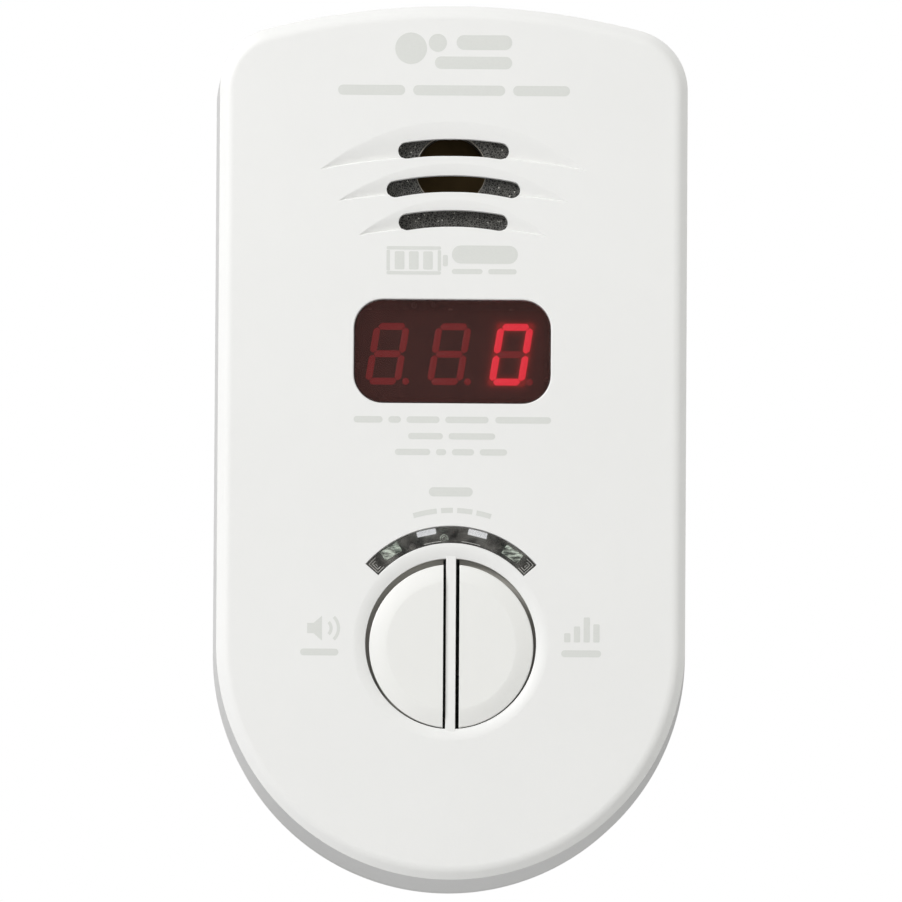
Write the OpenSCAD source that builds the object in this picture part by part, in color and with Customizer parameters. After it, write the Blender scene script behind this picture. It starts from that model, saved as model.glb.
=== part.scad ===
// Plug-in carbon monoxide alarm: a tall case with an arched top and a round bottom that hangs on
// a wall socket by its own two blades. X runs to the right seen from the front, the front faces
// -Y, and +Z is up. The origin is on the rear face, midway between the blades.

/* [Case] */
// Width of the case
case_w = 83.5; // [82:0.5:86]
// Depth of the case, from the wall to the front face
case_d = 38; // [38:0.5:40]
// Height of the blades' centre line above the centre of the push buttons
plug_rise = 54; // [52:0.5:56]
// Height of the top of the arch above the blades' centre line
arch_rise = 59.5; // [58:0.5:61]
// Radius of the arched top
arch_r = 132.5; // [120:0.5:150]
// Radius of the two top corners
corner_r = 11.5; // [10:0.5:13]
// Thickness of the case walls
wall = 2.2; // [2:0.1:2.4]
// Depth of the rear cover
rear_d = 13; // [12:0.5:14]

/* [Sound vents] */
// Height of each slot
slot_h = 3; // [2:0.1:3.2]
// Depth of the scoop above each slot
scoop_d = 0.9; // [0.4:0.1:1.2]
// Height of the horn's mouth above the blades' centre line
horn_z = 30; // [29:0.1:30.5]
// Radius of the horn's mouth
mouth_r = 6.1; // [4:0.1:8]
// Outer radius of the horn chamber
horn_r = 19.5; // [19:0.1:20]

/* [Display] */
// Width of the display window
window_w = 34.6; // [33:0.1:36]
// Height of the display window
window_h = 18.3; // [17:0.1:19]
// Corner radius of the display window
window_r = 5.1; // [4:0.1:6]
// Height of a digit
digit_h = 10.9; // [10:0.1:12]
// Width of a digit
digit_w = 6.3; // [5.5:0.1:6.6]
// Distance from one digit to the next
digit_pitch = 10.9; // [10:0.05:11]
// Lean of the digits from upright, in degrees
digit_lean = 9; // [0:1:12]

/* [Buttons] */
// Radius of the round opening that holds the two push buttons
button_hole_r = 15; // [14.5:0.1:15.2]
// Gap around each push button
button_gap = 0.6; // [0.4:0.02:0.7]
// Width of the rib between the push buttons
button_rib_w = 1.75; // [1.5:0.05:2.5]
// Travel of a push button
button_travel = 0.5; // [0.3:0.05:0.6]

/* [Status lens] */
// Inner radius of the arched lens
lens_in_r = 17; // [17:0.1:17.4]
// Outer radius of the arched lens
lens_out_r = 20; // [19.5:0.1:21]
// Half of the angle that the arched lens spans
lens_half_a = 48.6; // [40:0.1:49]

/* [Plug] */
// Distance between the blades' centres
blade_pitch = 12.7; // [12.7]
// Width of a blade
blade_w = 6.35; // [6.35]
// Thickness of a blade
blade_t = 1.5; // [1.5]
// Length of a blade behind the rear face
blade_len = 16.5; // [15.9:0.1:18.3]

/* [Battery] */
// Diameter of the sealed lithium cell
cell_dia = 17; // [16:0.1:17]
// Length of the sealed lithium cell
cell_len = 34.5; // [30:0.1:34.5]

/* [Switch-off slider] */
// Travel of the slider that switches the alarm off for good
slider_travel = 4; // [3:0.1:4]

/* [Hidden] */

$fn = 64;
play = 0.1;            // gap between pieces that drop into each other
slide_play = 0.05;     // gap between pieces that touch while they move
eps = 0.01;            // clearance of a screw's thread in its pilot hole

// Planes across the depth, from the front to the wall
front_y = -case_d;
front_in_y = front_y + wall;
seam_y = -rear_d;
rear_in_y = -wall;
board_t = 1.6;
board_y0 = front_y + 13.4;
board_y1 = board_y0 + board_t;

// Outline of the case
button_z = -plug_rise;
corner_x = case_w / 2 - corner_r;
arch_z = arch_rise - arch_r;
corner_lean = asin(corner_x / (arch_r - corner_r));
corner_z = arch_z + (arch_r - corner_r) * cos(corner_lean);
edge_w = 2.5;          // width of the rounded front edge, which ends in a crease
edge_r = 3;            // radius of its round part
edge_turn = 30;        // how far that turns from the face; a slope runs on to the crease
edge_drop = edge_r * (1 - cos(edge_turn)) + (edge_w - edge_r * sin(edge_turn)) * tan(edge_turn);
draft = 0.6;           // the sides open out this far from the crease to the seam
rear_edge = 1.5;       // bevel of the rear edge
rear_step = 0.4;       // step between the two covers along the seam
tongue_h = 3;
tongue_t = 1.2;

// Screws
case_screw_at = [[29, 42], [-29, 42], [26, button_z - 21], [-26, button_z - 21]];
case_screw_r = 1.45;
case_head_r = 2.8;
case_seat_y = -8;
case_screw_len = 15;
boss_r = 3.75;
tube_r = 4.5;
board_screw_at = [[30.5, 2], [-30.5, 2], [30, button_z + 14], [-30, button_z + 14]];
board_screw_r = 1.1;
board_screw_len = 9;
post_r = 3;

// Scoops and slots: [half width, height of the tips, top of the scoop, top of the ridge below,
// half length of the slot, height of the slot, radius of the slot's arch]
vents = [
    [23.5, 29.75, 38.85, 32.2, 9.75, 33.9, 54],
    [20.3, 24.2, 31.3, 25.85, 11.75, 27.45, 51],
    [16.7, 18.1, 24.9, 19.75, 9.6, 21.3, 48]];

// Display
window_z = -2.22;
digits_x = -0.5;       // the display sits a little left of the middle
window_rim = 1.7;      // flange that holds the pane behind the wall
pane_recess = 0.3;
display_w = 32.4;
display_h = 15.5;
display_d = 8;
display_y0 = board_y0 - display_d;
segment_w = 1.2;
segment_d = 0.15;
segment_gap = 0.25;
dot_r = 0.6;

// Status lens and the lamps behind it
lens_z = button_z + 1;
lens_rim = 0.5;
// Radius and bearing of each lamp about the lens's centre
lamps = [[19.5, -32.3], [20.4, -12.1], [20.4, 13.7], [19.5, 34]];
lamp_h = 1.1;

// Push buttons and their switches
hole_z = button_z + button_gap / 2;    // the opening sits a little high about the caps
cap_z = button_z - button_gap / 4;
button_proud = 0.4;
button_y0 = front_y - button_proud;
flange_y0 = front_in_y + play;
flange_t = 1.1;
flange_r = button_hole_r + 1;
button_flat_x = button_rib_w / 2 + 0.47;
dish_r = 17.2;
dish_d = 0.45;
switch_x = 7.5;
switch_w = 6;
switch_h = 3.4;
plunger_r = 1.7;
plunger_y0 = front_y + 6.4;
plunger_y1 = board_y0 - 2.6;
stem_r = 2;

// Horn
horn_at = [-0.4, horn_z];
foam_y0 = front_in_y + play;
foam_y1 = foam_y0 + 2.8;
horn_y0 = foam_y1 + play;
horn_wall = 1.5;
disc_r = 17.5;
disc_y0 = board_y0 - 2.8;
disc_t = 0.3;
ceramic_r = 11.5;

// Sensor
sensor_at = [24, 30];
sensor_r = 7.3;
sensor_y1 = -5.5;

// Cell, held in a cradle on the back of the board
cell_z = button_z - 4;
cell_y = board_y1 + 1.5 + cell_dia / 2;

// Blade carrier
carrier_w = 24;
carrier_h = 14;
carrier_rim = 1.5;
carrier_d = 11;

// Slider, its slot in the rear face and the switch that it works
slider_x = -25;
slider_z = -30;
tongue_w = 4;
slot_half_h = 1.7;
slide_knob_w = 1.4;

// Label
label_at = [6, -50];
label_size = [44, 30];
label_recess = 0.3;

// Points on an arc about [x, z]; the angle t is measured clockwise from straight up. skip leaves
// out that many points at each end, for an arc that joins another one.
function arc(x, z, r, t0, t1, n, skip = 0) =
    [for (i = [skip:n - skip]) let (t = t0 + (t1 - t0) * i / n) [x + r * sin(t), z + r * cos(t)]];

// The case's outline, moved in by inset all round.
function case_outline(inset) = concat(
    arc(0, arch_z, arch_r - inset, -corner_lean, corner_lean, 16, 1),
    arc(corner_x, corner_z, corner_r - inset, corner_lean, 90, 12),
    arc(0, button_z, case_w / 2 - inset, 90, 270, 56),
    arc(-corner_x, corner_z, corner_r - inset, 270, 360 - corner_lean, 12));

function rounded_box(x, z, w, h, r, n = 8) = concat(
    arc(x + w / 2 - r, z + h / 2 - r, r, 0, 90, n),
    arc(x + w / 2 - r, z - h / 2 + r, r, 90, 180, n),
    arc(x - w / 2 + r, z - h / 2 + r, r, 180, 270, n),
    arc(x - w / 2 + r, z + h / 2 - r, r, 270, 360, n));

// Radius of an arc whose chord is 2 * half and which rises by rise.
function bow_r(half, rise) = (half * half + rise * rise) / (2 * rise);

// An arc from one tip at [-half, z_tip] over [0, z_top] to the other tip.
function bow(half, z_tip, z_top, n, skip = 0, way = 1) =
    let (r = bow_r(half, z_top - z_tip), a = asin(half / r))
    arc(0, z_top - r, r, -a * way, a * way, n, skip);

function crescent(v) = concat(bow(v[0], v[1], v[2], 32), bow(v[0], v[1], v[3], 32, 1, -1));

// An arched slot with round ends, h high.
function arched_slot(half, z_top, r, h) =
    let (a = asin((half - h / 2) / r), z = z_top - r, e = [r * sin(a), z + r * cos(a)])
    concat(
        arc(0, z, r + h / 2, -a, a, 12),
        arc(e[0], e[1], h / 2, a, a + 180, 8, 1),
        arc(0, z, r - h / 2, a, -a, 12),
        arc(-e[0], e[1], h / 2, 180 - a, 360 - a, 8, 1));

// A band of a ring with radial ends.
function ring_band(z, r_in, r_out, a) = concat(
    arc(0, z, r_out, -a, a, 32), arc(0, z, r_in, a, -a, 32));

// A plane shape, drawn as [x, z], made solid from y0 to y1.
module plate(y0, y1) translate([0, y1, 0]) rotate([90, 0, 0]) linear_extrude(y1 - y0) children();
module slab(inset, y0, y1) plate(y0, y1) polygon(case_outline(inset));
module rod(at, r, y0, y1) cone(at, r, r, y0, y1);
module cone(at, r0, r1, y0, y1)
    translate([at[0], y1, at[1]]) rotate([90, 0, 0]) cylinder(h = y1 - y0, r1 = r1, r2 = r0);
module block(x, y, z) translate([x[0], y[0], z[0]]) cube([x[1] - x[0], y[1] - y[0], z[1] - z[0]]);

// A block centred at [x, z] that stands on the board's front (side -1) or back (side 1).
module on_board(at, w, h, d, side = -1) block([at[0] - w / 2, at[0] + w / 2],
    side < 0 ? [board_y0 - d, board_y0] : [board_y1, board_y1 + d],
    [at[1] - h / 2, at[1] + h / 2]);

module front_shell() difference() {
    hull() {
        slab(0, seam_y - 0.5, seam_y);
        slab(draft, front_y + edge_drop, seam_y);
        for (t = [0:edge_turn / 2:edge_turn])
            slab(draft + edge_w - edge_r * sin(t), front_y + edge_r * (1 - cos(t)), seam_y);
    }
    slab(wall, front_in_y, seam_y + 1);
}

module front_openings() {
    for (v = vents) {
        plate(front_y - 1, front_y + scoop_d) polygon(crescent(v));
        plate(front_y - 1, front_in_y + 1) polygon(arched_slot(v[4], v[5], v[6], slot_h));
    }
    plate(front_y - 1, front_in_y + 1)
        polygon(rounded_box(0, window_z, window_w, window_h, window_r));
    plate(front_y - 1, front_in_y + 1)
        polygon(ring_band(lens_z, lens_in_r, lens_out_r, lens_half_a));
    rod([0, hole_z], button_hole_r, front_y - 1, front_in_y + 1);
    cone([0, hole_z], dish_r, button_hole_r, front_y - eps, front_y + dish_d);
}

module button_collar() difference() {
    rod([0, cap_z], flange_r + 1, front_in_y - 0.5, front_in_y + 4);
    rod([0, cap_z], flange_r + 0.2, front_in_y - 1, front_in_y + 5);
}

module front_cover() color("whitesmoke") difference() {
    union() {
        difference() {
            front_shell();
            front_openings();
        }
        button_collar();
        block([-button_rib_w / 2, button_rib_w / 2], [front_y + 0.2, front_in_y + 2],
            [button_z - button_hole_r - 0.8, button_z + button_hole_r + 0.8]);
        for (at = case_screw_at) rod(at, boss_r, front_in_y - 0.5, seam_y - play);
    }
    for (at = case_screw_at) rod(at, case_screw_r + eps, case_seat_y - case_screw_len - 1, seam_y + 1);
}

module rear_shell() difference() {
    hull() {
        slab(rear_step, seam_y, -rear_edge);
        slab(rear_step + rear_edge, seam_y, 0);
    }
    slab(wall, seam_y - 1, rear_in_y);
}

module slider_rails() for (side = [-1, 1]) {
    z = slider_z + side * 3.1;
    block([slider_x - 7, slider_x + 11], [-5.6, rear_in_y + 0.5], side > 0 ? [z, z + 1.2] : [z - 1.2, z]);
    block([slider_x - 7, slider_x + 11], [-5.6, -4.4],
        side > 0 ? [z - 1.1, z + 1.2] : [z - 1.2, z + 1.1]);
}

module rear_cover() color("gainsboro") difference() {
    union() {
        rear_shell();
        difference() {
            slab(wall + play, seam_y - tongue_h, seam_y + 1);
            slab(wall + play + tongue_t, seam_y - tongue_h - 1, seam_y + 2);
        }
        difference() {
            slab(wall - 0.5, seam_y, seam_y + 1);
            slab(wall + play + tongue_t, seam_y - 1, seam_y + 2);
        }
        for (at = case_screw_at) rod(at, tube_r, seam_y, rear_in_y + 0.5);
        for (at = board_screw_at) rod(at, post_r, board_y1, rear_in_y + 0.5);
        slider_rails();
    }
    for (at = case_screw_at) {
        rod(at, case_head_r + 0.4, case_seat_y, 1);
        rod(at, case_screw_r + 0.2, seam_y - 1, case_seat_y + 1);
    }
    for (at = board_screw_at) rod(at, board_screw_r + eps, board_y1 - 1, board_y1 + board_screw_len);
    block([-carrier_w / 2, carrier_w / 2], [rear_in_y - 1, 1], [-carrier_h / 2, carrier_h / 2]);
    block([slider_x - tongue_w / 2 - 0.2, slider_x + tongue_w / 2 + slider_travel + 0.2],
        [rear_in_y - 1, 1], [slider_z - slot_half_h, slider_z + slot_half_h]);
    plate(-label_recess, 1)
        polygon(rounded_box(label_at[0], label_at[1], label_size[0] + 0.6, label_size[1] + 0.6, 2));
}

module display_window() color([0.25, 0.03, 0.03]) {
    plate(front_y + pane_recess, front_in_y)
        polygon(rounded_box(0, window_z, window_w - 2 * play, window_h - 2 * play, window_r - play));
    plate(front_in_y, front_in_y + 1.2)
        polygon(rounded_box(0, window_z, window_w + 2 * window_rim, window_h + 2 * window_rim,
            window_r + window_rim));
}

// The lens reaches back to the lamps as a light guide, and a flange holds it behind the wall.
module status_lens() color([0.25, 0.26, 0.26]) {
    plate(front_y + pane_recess, board_y0 - lamp_h - 0.2)
        polygon(ring_band(lens_z, lens_in_r + play, lens_out_r - play, lens_half_a - 0.3));
    plate(front_in_y, front_in_y + 1)
        polygon(ring_band(lens_z, lens_in_r - lens_rim + play, lens_out_r + lens_rim, lens_half_a + 1));
}

module vent_foam() color([0.1, 0.1, 0.1]) difference() {
    plate(foam_y0, foam_y1) polygon(rounded_box(0, horn_z - 2.2, 46, 30, 2));
    rod(horn_at, mouth_r + 0.2, foam_y0 - 1, foam_y1 + 1);
}

module horn_chamber() color([0.85, 0.84, 0.8]) difference() {
    rod(horn_at, horn_r, horn_y0, board_y0);
    rod(horn_at, mouth_r, horn_y0 - 1, horn_y0 + horn_wall + 1);
    rod(horn_at, disc_r - 1.5, horn_y0 + horn_wall, board_y0 + 1);
    rod(horn_at, disc_r + play, disc_y0, board_y0 + 1);
}

module piezo_disc() color("goldenrod") rod(horn_at, disc_r, disc_y0, disc_y0 + disc_t);

module piezo_ceramic() color([0.9, 0.88, 0.82])
    rod(horn_at, ceramic_r, disc_y0 + disc_t, disc_y0 + disc_t + 0.25);

// Sprung strips between the board and the disc: two on the ceramic, one on the brass rim.
module horn_contacts() color("silver") {
    for (x = [-6.4, 5.6]) block([x - 1, x + 1], [disc_y0 + disc_t + 0.25, board_y0],
        [horn_z - 0.5, horn_z + 0.5]);
    block([-1, 1], [disc_y0 + disc_t, board_y0], [horn_z - 15.5, horn_z - 14.5]);
}

module main_board() color([0.16, 0.32, 0.2]) difference() {
    slab(5.5, board_y0, board_y1);
    for (at = case_screw_at) rod(at, boss_r + 0.6, board_y0 - 1, board_y1 + 1);
    for (at = board_screw_at) rod(at, board_screw_r + 0.2, board_y0 - 1, board_y1 + 1);
    rod(sensor_at, 4, board_y0 - 1, board_y1 + 1);
}

module display_module() color([0.08, 0.08, 0.09])
    on_board([0, window_z], display_w, display_h, display_d);

// Leans the points of a digit's drawing about the middle of the display.
function lean(points) = [for (p = points) [p[0] + p[1] * tan(digit_lean), p[1]]];

// A bar of a digit: a long hexagon centred at [0, 0], along X, or along Z when upright.
function bar(len, upright) =
    let (a = len / 2 - segment_gap, w = segment_w / 2,
        flat = [[-a, 0], [w - a, w], [a - w, w], [a, 0], [a - w, -w], [w - a, -w]])
    [for (p = flat) upright ? [p[1], p[0]] : p];

function shifted(points, dx, dz) = [for (p = points) [p[0] + dx, p[1] + dz]];

// Length and place of the seven bars about the digit's own centre: [upright, x, z].
bar_x = (digit_w - segment_w) / 2;
bar_z = (digit_h - segment_w) / 2;
bars = [[false, 0, bar_z], [true, bar_x, bar_z / 2], [true, bar_x, -bar_z / 2],
    [false, 0, -bar_z], [true, -bar_x, -bar_z / 2], [true, -bar_x, bar_z / 2], [false, 0, 0]];

module digit_bar(column, b) translate([digits_x + column * digit_pitch, 0, window_z])
    plate(display_y0 - segment_d, display_y0)
        polygon(lean(shifted(bar(b[0] ? bar_z : 2 * bar_x, b[0]), b[1], b[2])));

module digit_dot(column) rod([digits_x + column * digit_pitch + digit_w / 2 + 0.1, window_z - bar_z],
    dot_r, display_y0 - segment_d, display_y0);

// The last digit reads 0.
module lit_segments() color("red") for (i = [0:5]) digit_bar(1, bars[i]);

module unlit_segments() color([0.35, 0.1, 0.1]) {
    for (column = [-1, 0], b = bars) digit_bar(column, b);
    digit_bar(1, bars[6]);
    for (column = [-1:1]) digit_dot(column);
}

// Lamp packages, each turned to lie along the arch of the lens.
module status_leds() color("white") for (lamp = lamps)
    translate([lamp[0] * sin(lamp[1]), 0, lens_z + lamp[0] * cos(lamp[1])]) rotate([0, lamp[1], 0])
        on_board([0, 0], 3.4, 1.2, lamp_h);

module processor_chip() color([0.12, 0.12, 0.12]) on_board([-19, -22], 10, 10, 1.6);

module driver_chip() color([0.12, 0.12, 0.12]) on_board([4, -22], 9.9, 3.9, 1.6);

// Rows of chip resistors and capacitors on the front of the board.
module surface_parts() color([0.55, 0.45, 0.35]) {
    for (i = [0:5], j = [0:1]) on_board([-8 + 3.4 * i, -14 - 2.4 * j], 2, 1.2, 0.6);
    for (side = [-1, 1], j = [0:4]) on_board([side * 27, -6 + 2.6 * j - 6], 2, 1.2, 0.6);
    for (i = [0:4]) on_board([-8 + 4 * i, button_z - 17], 2, 1.2, 0.6);
}

module horn_inductor() color([0.2, 0.2, 0.22]) difference() {
    rod([21, -23], 4.5, board_y0 - 8, board_y0);
    difference() {
        rod([21, -23], 5, board_y0 - 6.8, board_y0 - 1.2);
        rod([21, -23], 3.6, board_y0 - 7, board_y0 - 1);
    }
}

module co_sensor() color("lightgray") {
    rod(sensor_at, sensor_r, board_y1 + 2.5, sensor_y1 - 1);
    rod(sensor_at, sensor_r - 0.9, sensor_y1 - 1, sensor_y1);
}

module sensor_cap() color([0.2, 0.3, 0.5]) difference() {
    rod(sensor_at, sensor_r + 0.8, board_y1, board_y1 + 6);
    rod(sensor_at, sensor_r + slide_play, board_y1 + 2.5, board_y1 + 7);
    rod(sensor_at, 1.5, board_y1 - 1, board_y1 + 3);
}

module along_x(x0, x1, r) translate([x0, cell_y, cell_z]) rotate([0, 90, 0]) cylinder(h = x1 - x0, r = r);

module lithium_cell() color([0.75, 0.6, 0.2]) {
    along_x(-cell_len / 2, cell_len / 2 - 1.2, cell_dia / 2);
    along_x(cell_len / 2 - 1.2, cell_len / 2, 3.2);
}

module cell_tabs() color("silver") for (side = [-1, 1]) {
    x = side * (cell_len / 2 + 0.15);
    block([x - 0.15, x + 0.15], [board_y1, cell_y + 2], [cell_z - 2.5, cell_z + 2.5]);
}

module cell_holder() color([0.15, 0.15, 0.16]) difference() {
    x1 = cell_len / 2 + 2.2;
    block([-x1, x1], [board_y1, cell_y + 3], [cell_z - cell_dia / 2 - 1.5, cell_z + cell_dia / 2 + 1.5]);
    along_x(-cell_len / 2 - 0.5, cell_len / 2 + 0.5, cell_dia / 2 + play);
    block([-cell_len / 2 - 0.5, cell_len / 2 + 0.5], [cell_y, cell_y + 4],
        [cell_z - cell_dia / 2 - play, cell_z + cell_dia / 2 + play]);
    for (side = [-1, 1]) {
        x = side * (cell_len / 2 + 0.15);
        block([x - 0.35, x + 0.35], [board_y1 - 1, cell_y + 4], [cell_z - 3, cell_z + 3]);
    }
}

module blade(x) difference() {
    union() {
        block([x - blade_t / 2, x + blade_t / 2], [-carrier_d + 2, blade_len - 2],
            [-blade_w / 2, blade_w / 2]);
        translate([x - blade_t / 2, 0, 0]) rotate([90, 0, 90]) linear_extrude(blade_t)
            polygon([[blade_len - 2, -blade_w / 2], [blade_len, -blade_w / 2 + 1.4],
                [blade_len, blade_w / 2 - 1.4], [blade_len - 2, blade_w / 2]]);
        block([x - blade_t / 2, x + blade_t / 2], [board_y1, -carrier_d + 2], [-1.5, 1.5]);
    }
    translate([x - blade_t, blade_len - 4.8, 0]) rotate([0, 90, 0]) cylinder(h = 2 * blade_t, r = 1.6);
}

module plug_blades() color([0.78, 0.7, 0.5]) for (side = [-1, 1]) blade(side * blade_pitch / 2);

module blade_carrier() color([0.2, 0.2, 0.2]) difference() {
    union() {
        block([-carrier_w / 2 + play, carrier_w / 2 - play], [rear_in_y - 1, 0],
            [-carrier_h / 2 + play, carrier_h / 2 - play]);
        block([-carrier_w / 2 - carrier_rim, carrier_w / 2 + carrier_rim], [-carrier_d, rear_in_y],
            [-carrier_h / 2 - carrier_rim, carrier_h / 2 + carrier_rim]);
    }
    for (side = [-1, 1]) {
        x = side * blade_pitch / 2;
        h = blade_t / 2 + eps;
        block([x - h, x + h], [-carrier_d + 2 - eps, 1], [-blade_w / 2 - eps, blade_w / 2 + eps]);
        block([x - h, x + h], [-carrier_d - 1, 0], [-1.5 - eps, 1.5 + eps]);
    }
}

module film_capacitor() color([0.75, 0.65, 0.2]) on_board([-24.5, 21], 9, 18, 14, 1);

module reservoir_capacitor() color([0.15, 0.2, 0.35]) rod([26, -14], 5, board_y1, board_y1 + 16);

module surge_varistor() color([0.2, 0.35, 0.65])
    translate([-2, board_y1 + 5.8, 21]) cylinder(h = 4, r = 5);

module fusible_resistor() color([0.45, 0.6, 0.5])
    translate([-13, board_y1 + 2.4, 12]) cylinder(h = 12, r = 2.2);

module bridge_rectifier() color([0.12, 0.12, 0.12]) on_board([10.5, 15], 6.5, 8, 2.6, 1);

module switch_base(side) color([0.2, 0.2, 0.2]) difference() {
    on_board([side * switch_x, button_z], switch_w, switch_w, switch_h);
    rod([side * switch_x, button_z], plunger_r + slide_play, board_y0 - switch_h - 1,
        plunger_y1 + button_travel + 0.2);
}

module switch_plunger(side) color([0.75, 0.72, 0.65])
    rod([side * switch_x, button_z], plunger_r, plunger_y0, plunger_y1);

module push_button(side) color("whitesmoke") difference() {
    union() {
        intersection() {
            union() {
                cone([0, cap_z], button_hole_r - button_gap - 3.1, button_hole_r - button_gap,
                    button_y0, button_y0 + 0.8);
                rod([0, cap_z], button_hole_r - button_gap, button_y0 + 0.8, flange_y0);
                rod([0, cap_z], flange_r, flange_y0, flange_y0 + flange_t);
            }
            block(side > 0 ? [button_flat_x, 20] : [-20, -button_flat_x], [button_y0 - 1, 0],
                [button_z - 20, button_z + 20]);
        }
    }
    intersection() {
        rod([0, cap_z], button_hole_r - 3.4, button_y0 + 1.6, flange_y0 + 5);
        block(side > 0 ? [3, 20] : [-20, -3], [button_y0, 0], [button_z - 20, button_z + 20]);
        difference() {
            block([-20, 20], [button_y0, 0], [button_z - 20, button_z + 20]);
            rod([side * switch_x, button_z], stem_r, button_y0, 0);
        }
    }
}

module button_stem(side) rod([side * switch_x, button_z], stem_r, flange_y0 + flange_t,
    plunger_y0 - slide_play);

module whole_button(side) color("whitesmoke") {
    push_button(side);
    button_stem(side);
}

module test_hush_button() whole_button(-1);
module peak_level_button() whole_button(1);
module test_switch_base() switch_base(-1);
module peak_switch_base() switch_base(1);
module test_switch_plunger() switch_plunger(-1);
module peak_switch_plunger() switch_plunger(1);

module deactivate_slider() color([0.75, 0.15, 0.1]) difference() {
    union() {
        block([slider_x - tongue_w / 2, slider_x + tongue_w / 2], [-3, -0.6],
            [slider_z - slot_half_h + 0.15, slider_z + slot_half_h - 0.15]);
        block([slider_x - 6, slider_x + 6], [-4.3, rear_in_y - slide_play],
            [slider_z - 3, slider_z + 3]);
        block([slider_x - 1.5, slider_x + 1.5], [board_y1 + 5.5, -4], [slider_z - 1.5, slider_z + 1.5]);
    }
    block([slider_x - slide_knob_w / 2 - slide_play, slider_x + slide_knob_w / 2 + slide_play],
        [board_y1 + 5, board_y1 + 7.2], [slider_z - 2, slider_z + 2]);
}

module slide_switch_knob() color([0.8, 0.8, 0.78])
    block([slider_x - slide_knob_w / 2, slider_x + slide_knob_w / 2], [board_y1 + 2.6, board_y1 + 7.1],
        [slider_z - 0.9, slider_z + 0.9]);

module slide_switch_base() color("lightgray") difference() {
    on_board([slider_x + slider_travel / 2, slider_z], 13, 5, 4.4, 1);
    block([slider_x - slide_knob_w / 2 - 0.2, slider_x + slide_knob_w / 2 + slider_travel + 0.2],
        [board_y1 + 2.5, board_y1 + 6], [slider_z - 1, slider_z + 1]);
}

module cross_slot(at, r, y0, y1) for (a = [0, 90]) translate([at[0], 0, at[1]]) rotate([0, a, 0])
    block([-r * 0.6, r * 0.6], [y0, y1], [-0.35, 0.35]);

module case_screws() color("silver") for (at = case_screw_at) difference() {
    union() {
        rod(at, case_head_r, case_seat_y, case_seat_y + 2);
        rod(at, case_screw_r, case_seat_y - case_screw_len, case_seat_y);
    }
    cross_slot(at, case_head_r, case_seat_y + 1, case_seat_y + 3);
}

module board_screws() color("silver") for (at = board_screw_at) difference() {
    union() {
        rod(at, 2.2, board_y0 - 1.5, board_y0);
        rod(at, board_screw_r, board_y0, board_y0 + board_screw_len);
    }
    cross_slot(at, 2.2, board_y0 - 3, board_y0 - 0.8);
}

module rating_label() color([0.9, 0.9, 0.88]) plate(-label_recess, -label_recess + 0.2)
    polygon(rounded_box(label_at[0], label_at[1], label_size[0], label_size[1], 1.8));

front_cover();
rear_cover();
display_window();
status_lens();
vent_foam();
horn_chamber();
piezo_disc();
piezo_ceramic();
horn_contacts();
main_board();
display_module();
lit_segments();
unlit_segments();
status_leds();
processor_chip();
driver_chip();
surface_parts();
horn_inductor();
co_sensor();
sensor_cap();
lithium_cell();
cell_holder();
cell_tabs();
plug_blades();
blade_carrier();
film_capacitor();
reservoir_capacitor();
surge_varistor();
fusible_resistor();
bridge_rectifier();
test_switch_base();
peak_switch_base();
slide_switch_base();
case_screws();
board_screws();
rating_label();
test_hush_button();
peak_level_button();
test_switch_plunger();
peak_switch_plunger();
deactivate_slider();
slide_switch_knob();
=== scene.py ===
"""Looks of a plug-in carbon monoxide alarm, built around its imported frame.

The alarm hangs on a wall socket by two blades. X runs to the right seen from the front, the
front faces -Y and +Z is up. The origin is on the rear face, midway between the blades. Every
length is in metres, and a plan is a list of (x, z) points seen from the front.
"""

import logging
import math
from collections.abc import Callable, Iterable, Mapping, Sequence
from dataclasses import dataclass, replace
from enum import Enum

import bmesh
import bpy
from mathutils import Matrix, Vector


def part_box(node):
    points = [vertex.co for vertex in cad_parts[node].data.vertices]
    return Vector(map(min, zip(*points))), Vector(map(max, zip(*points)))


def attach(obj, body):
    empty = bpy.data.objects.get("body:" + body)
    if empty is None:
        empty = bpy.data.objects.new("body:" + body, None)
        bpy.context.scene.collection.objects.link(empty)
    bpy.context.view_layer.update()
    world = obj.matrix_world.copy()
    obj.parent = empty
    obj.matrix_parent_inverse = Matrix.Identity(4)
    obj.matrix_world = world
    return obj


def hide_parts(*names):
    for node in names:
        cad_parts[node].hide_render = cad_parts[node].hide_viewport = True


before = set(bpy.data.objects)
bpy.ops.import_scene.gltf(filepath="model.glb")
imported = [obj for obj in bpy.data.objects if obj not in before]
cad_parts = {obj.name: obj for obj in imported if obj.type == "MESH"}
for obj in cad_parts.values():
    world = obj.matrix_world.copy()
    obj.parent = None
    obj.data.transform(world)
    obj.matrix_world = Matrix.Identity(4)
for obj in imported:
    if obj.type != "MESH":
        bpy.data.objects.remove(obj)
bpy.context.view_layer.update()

MM = 0.001
LOG = logging.getLogger("alarm")

GAP_SHADE_TINT = (1, 0.97, 0.92)  # How the painted shade in a gap tints the plastic, for each colour channel.

Plan = list[tuple[float, float]]
Outline = Callable[[float], Plan]
Colour = tuple[float, float, float]


# ---------------------------------------------------------------------------------------------
# Plans
# ---------------------------------------------------------------------------------------------


def arc(x: float, z: float, r: float, t0: float, t1: float, n: int, skip: int = 0) -> Plan:
    """Points on an arc about (x, z).

    Args:
        x: Centre, to the right.
        z: Centre, up.
        r: Radius.
        t0: First bearing, in degrees clockwise from straight up.
        t1: Last bearing.
        n: Number of steps.
        skip: Points left out at each end, for an arc that joins another one.

    Returns:
        The points in order.
    """
    bearings = [math.radians(t0 + (t1 - t0) * i / n) for i in range(skip, n + 1 - skip)]
    return [(x + r * math.sin(t), z + r * math.cos(t)) for t in bearings]


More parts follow.
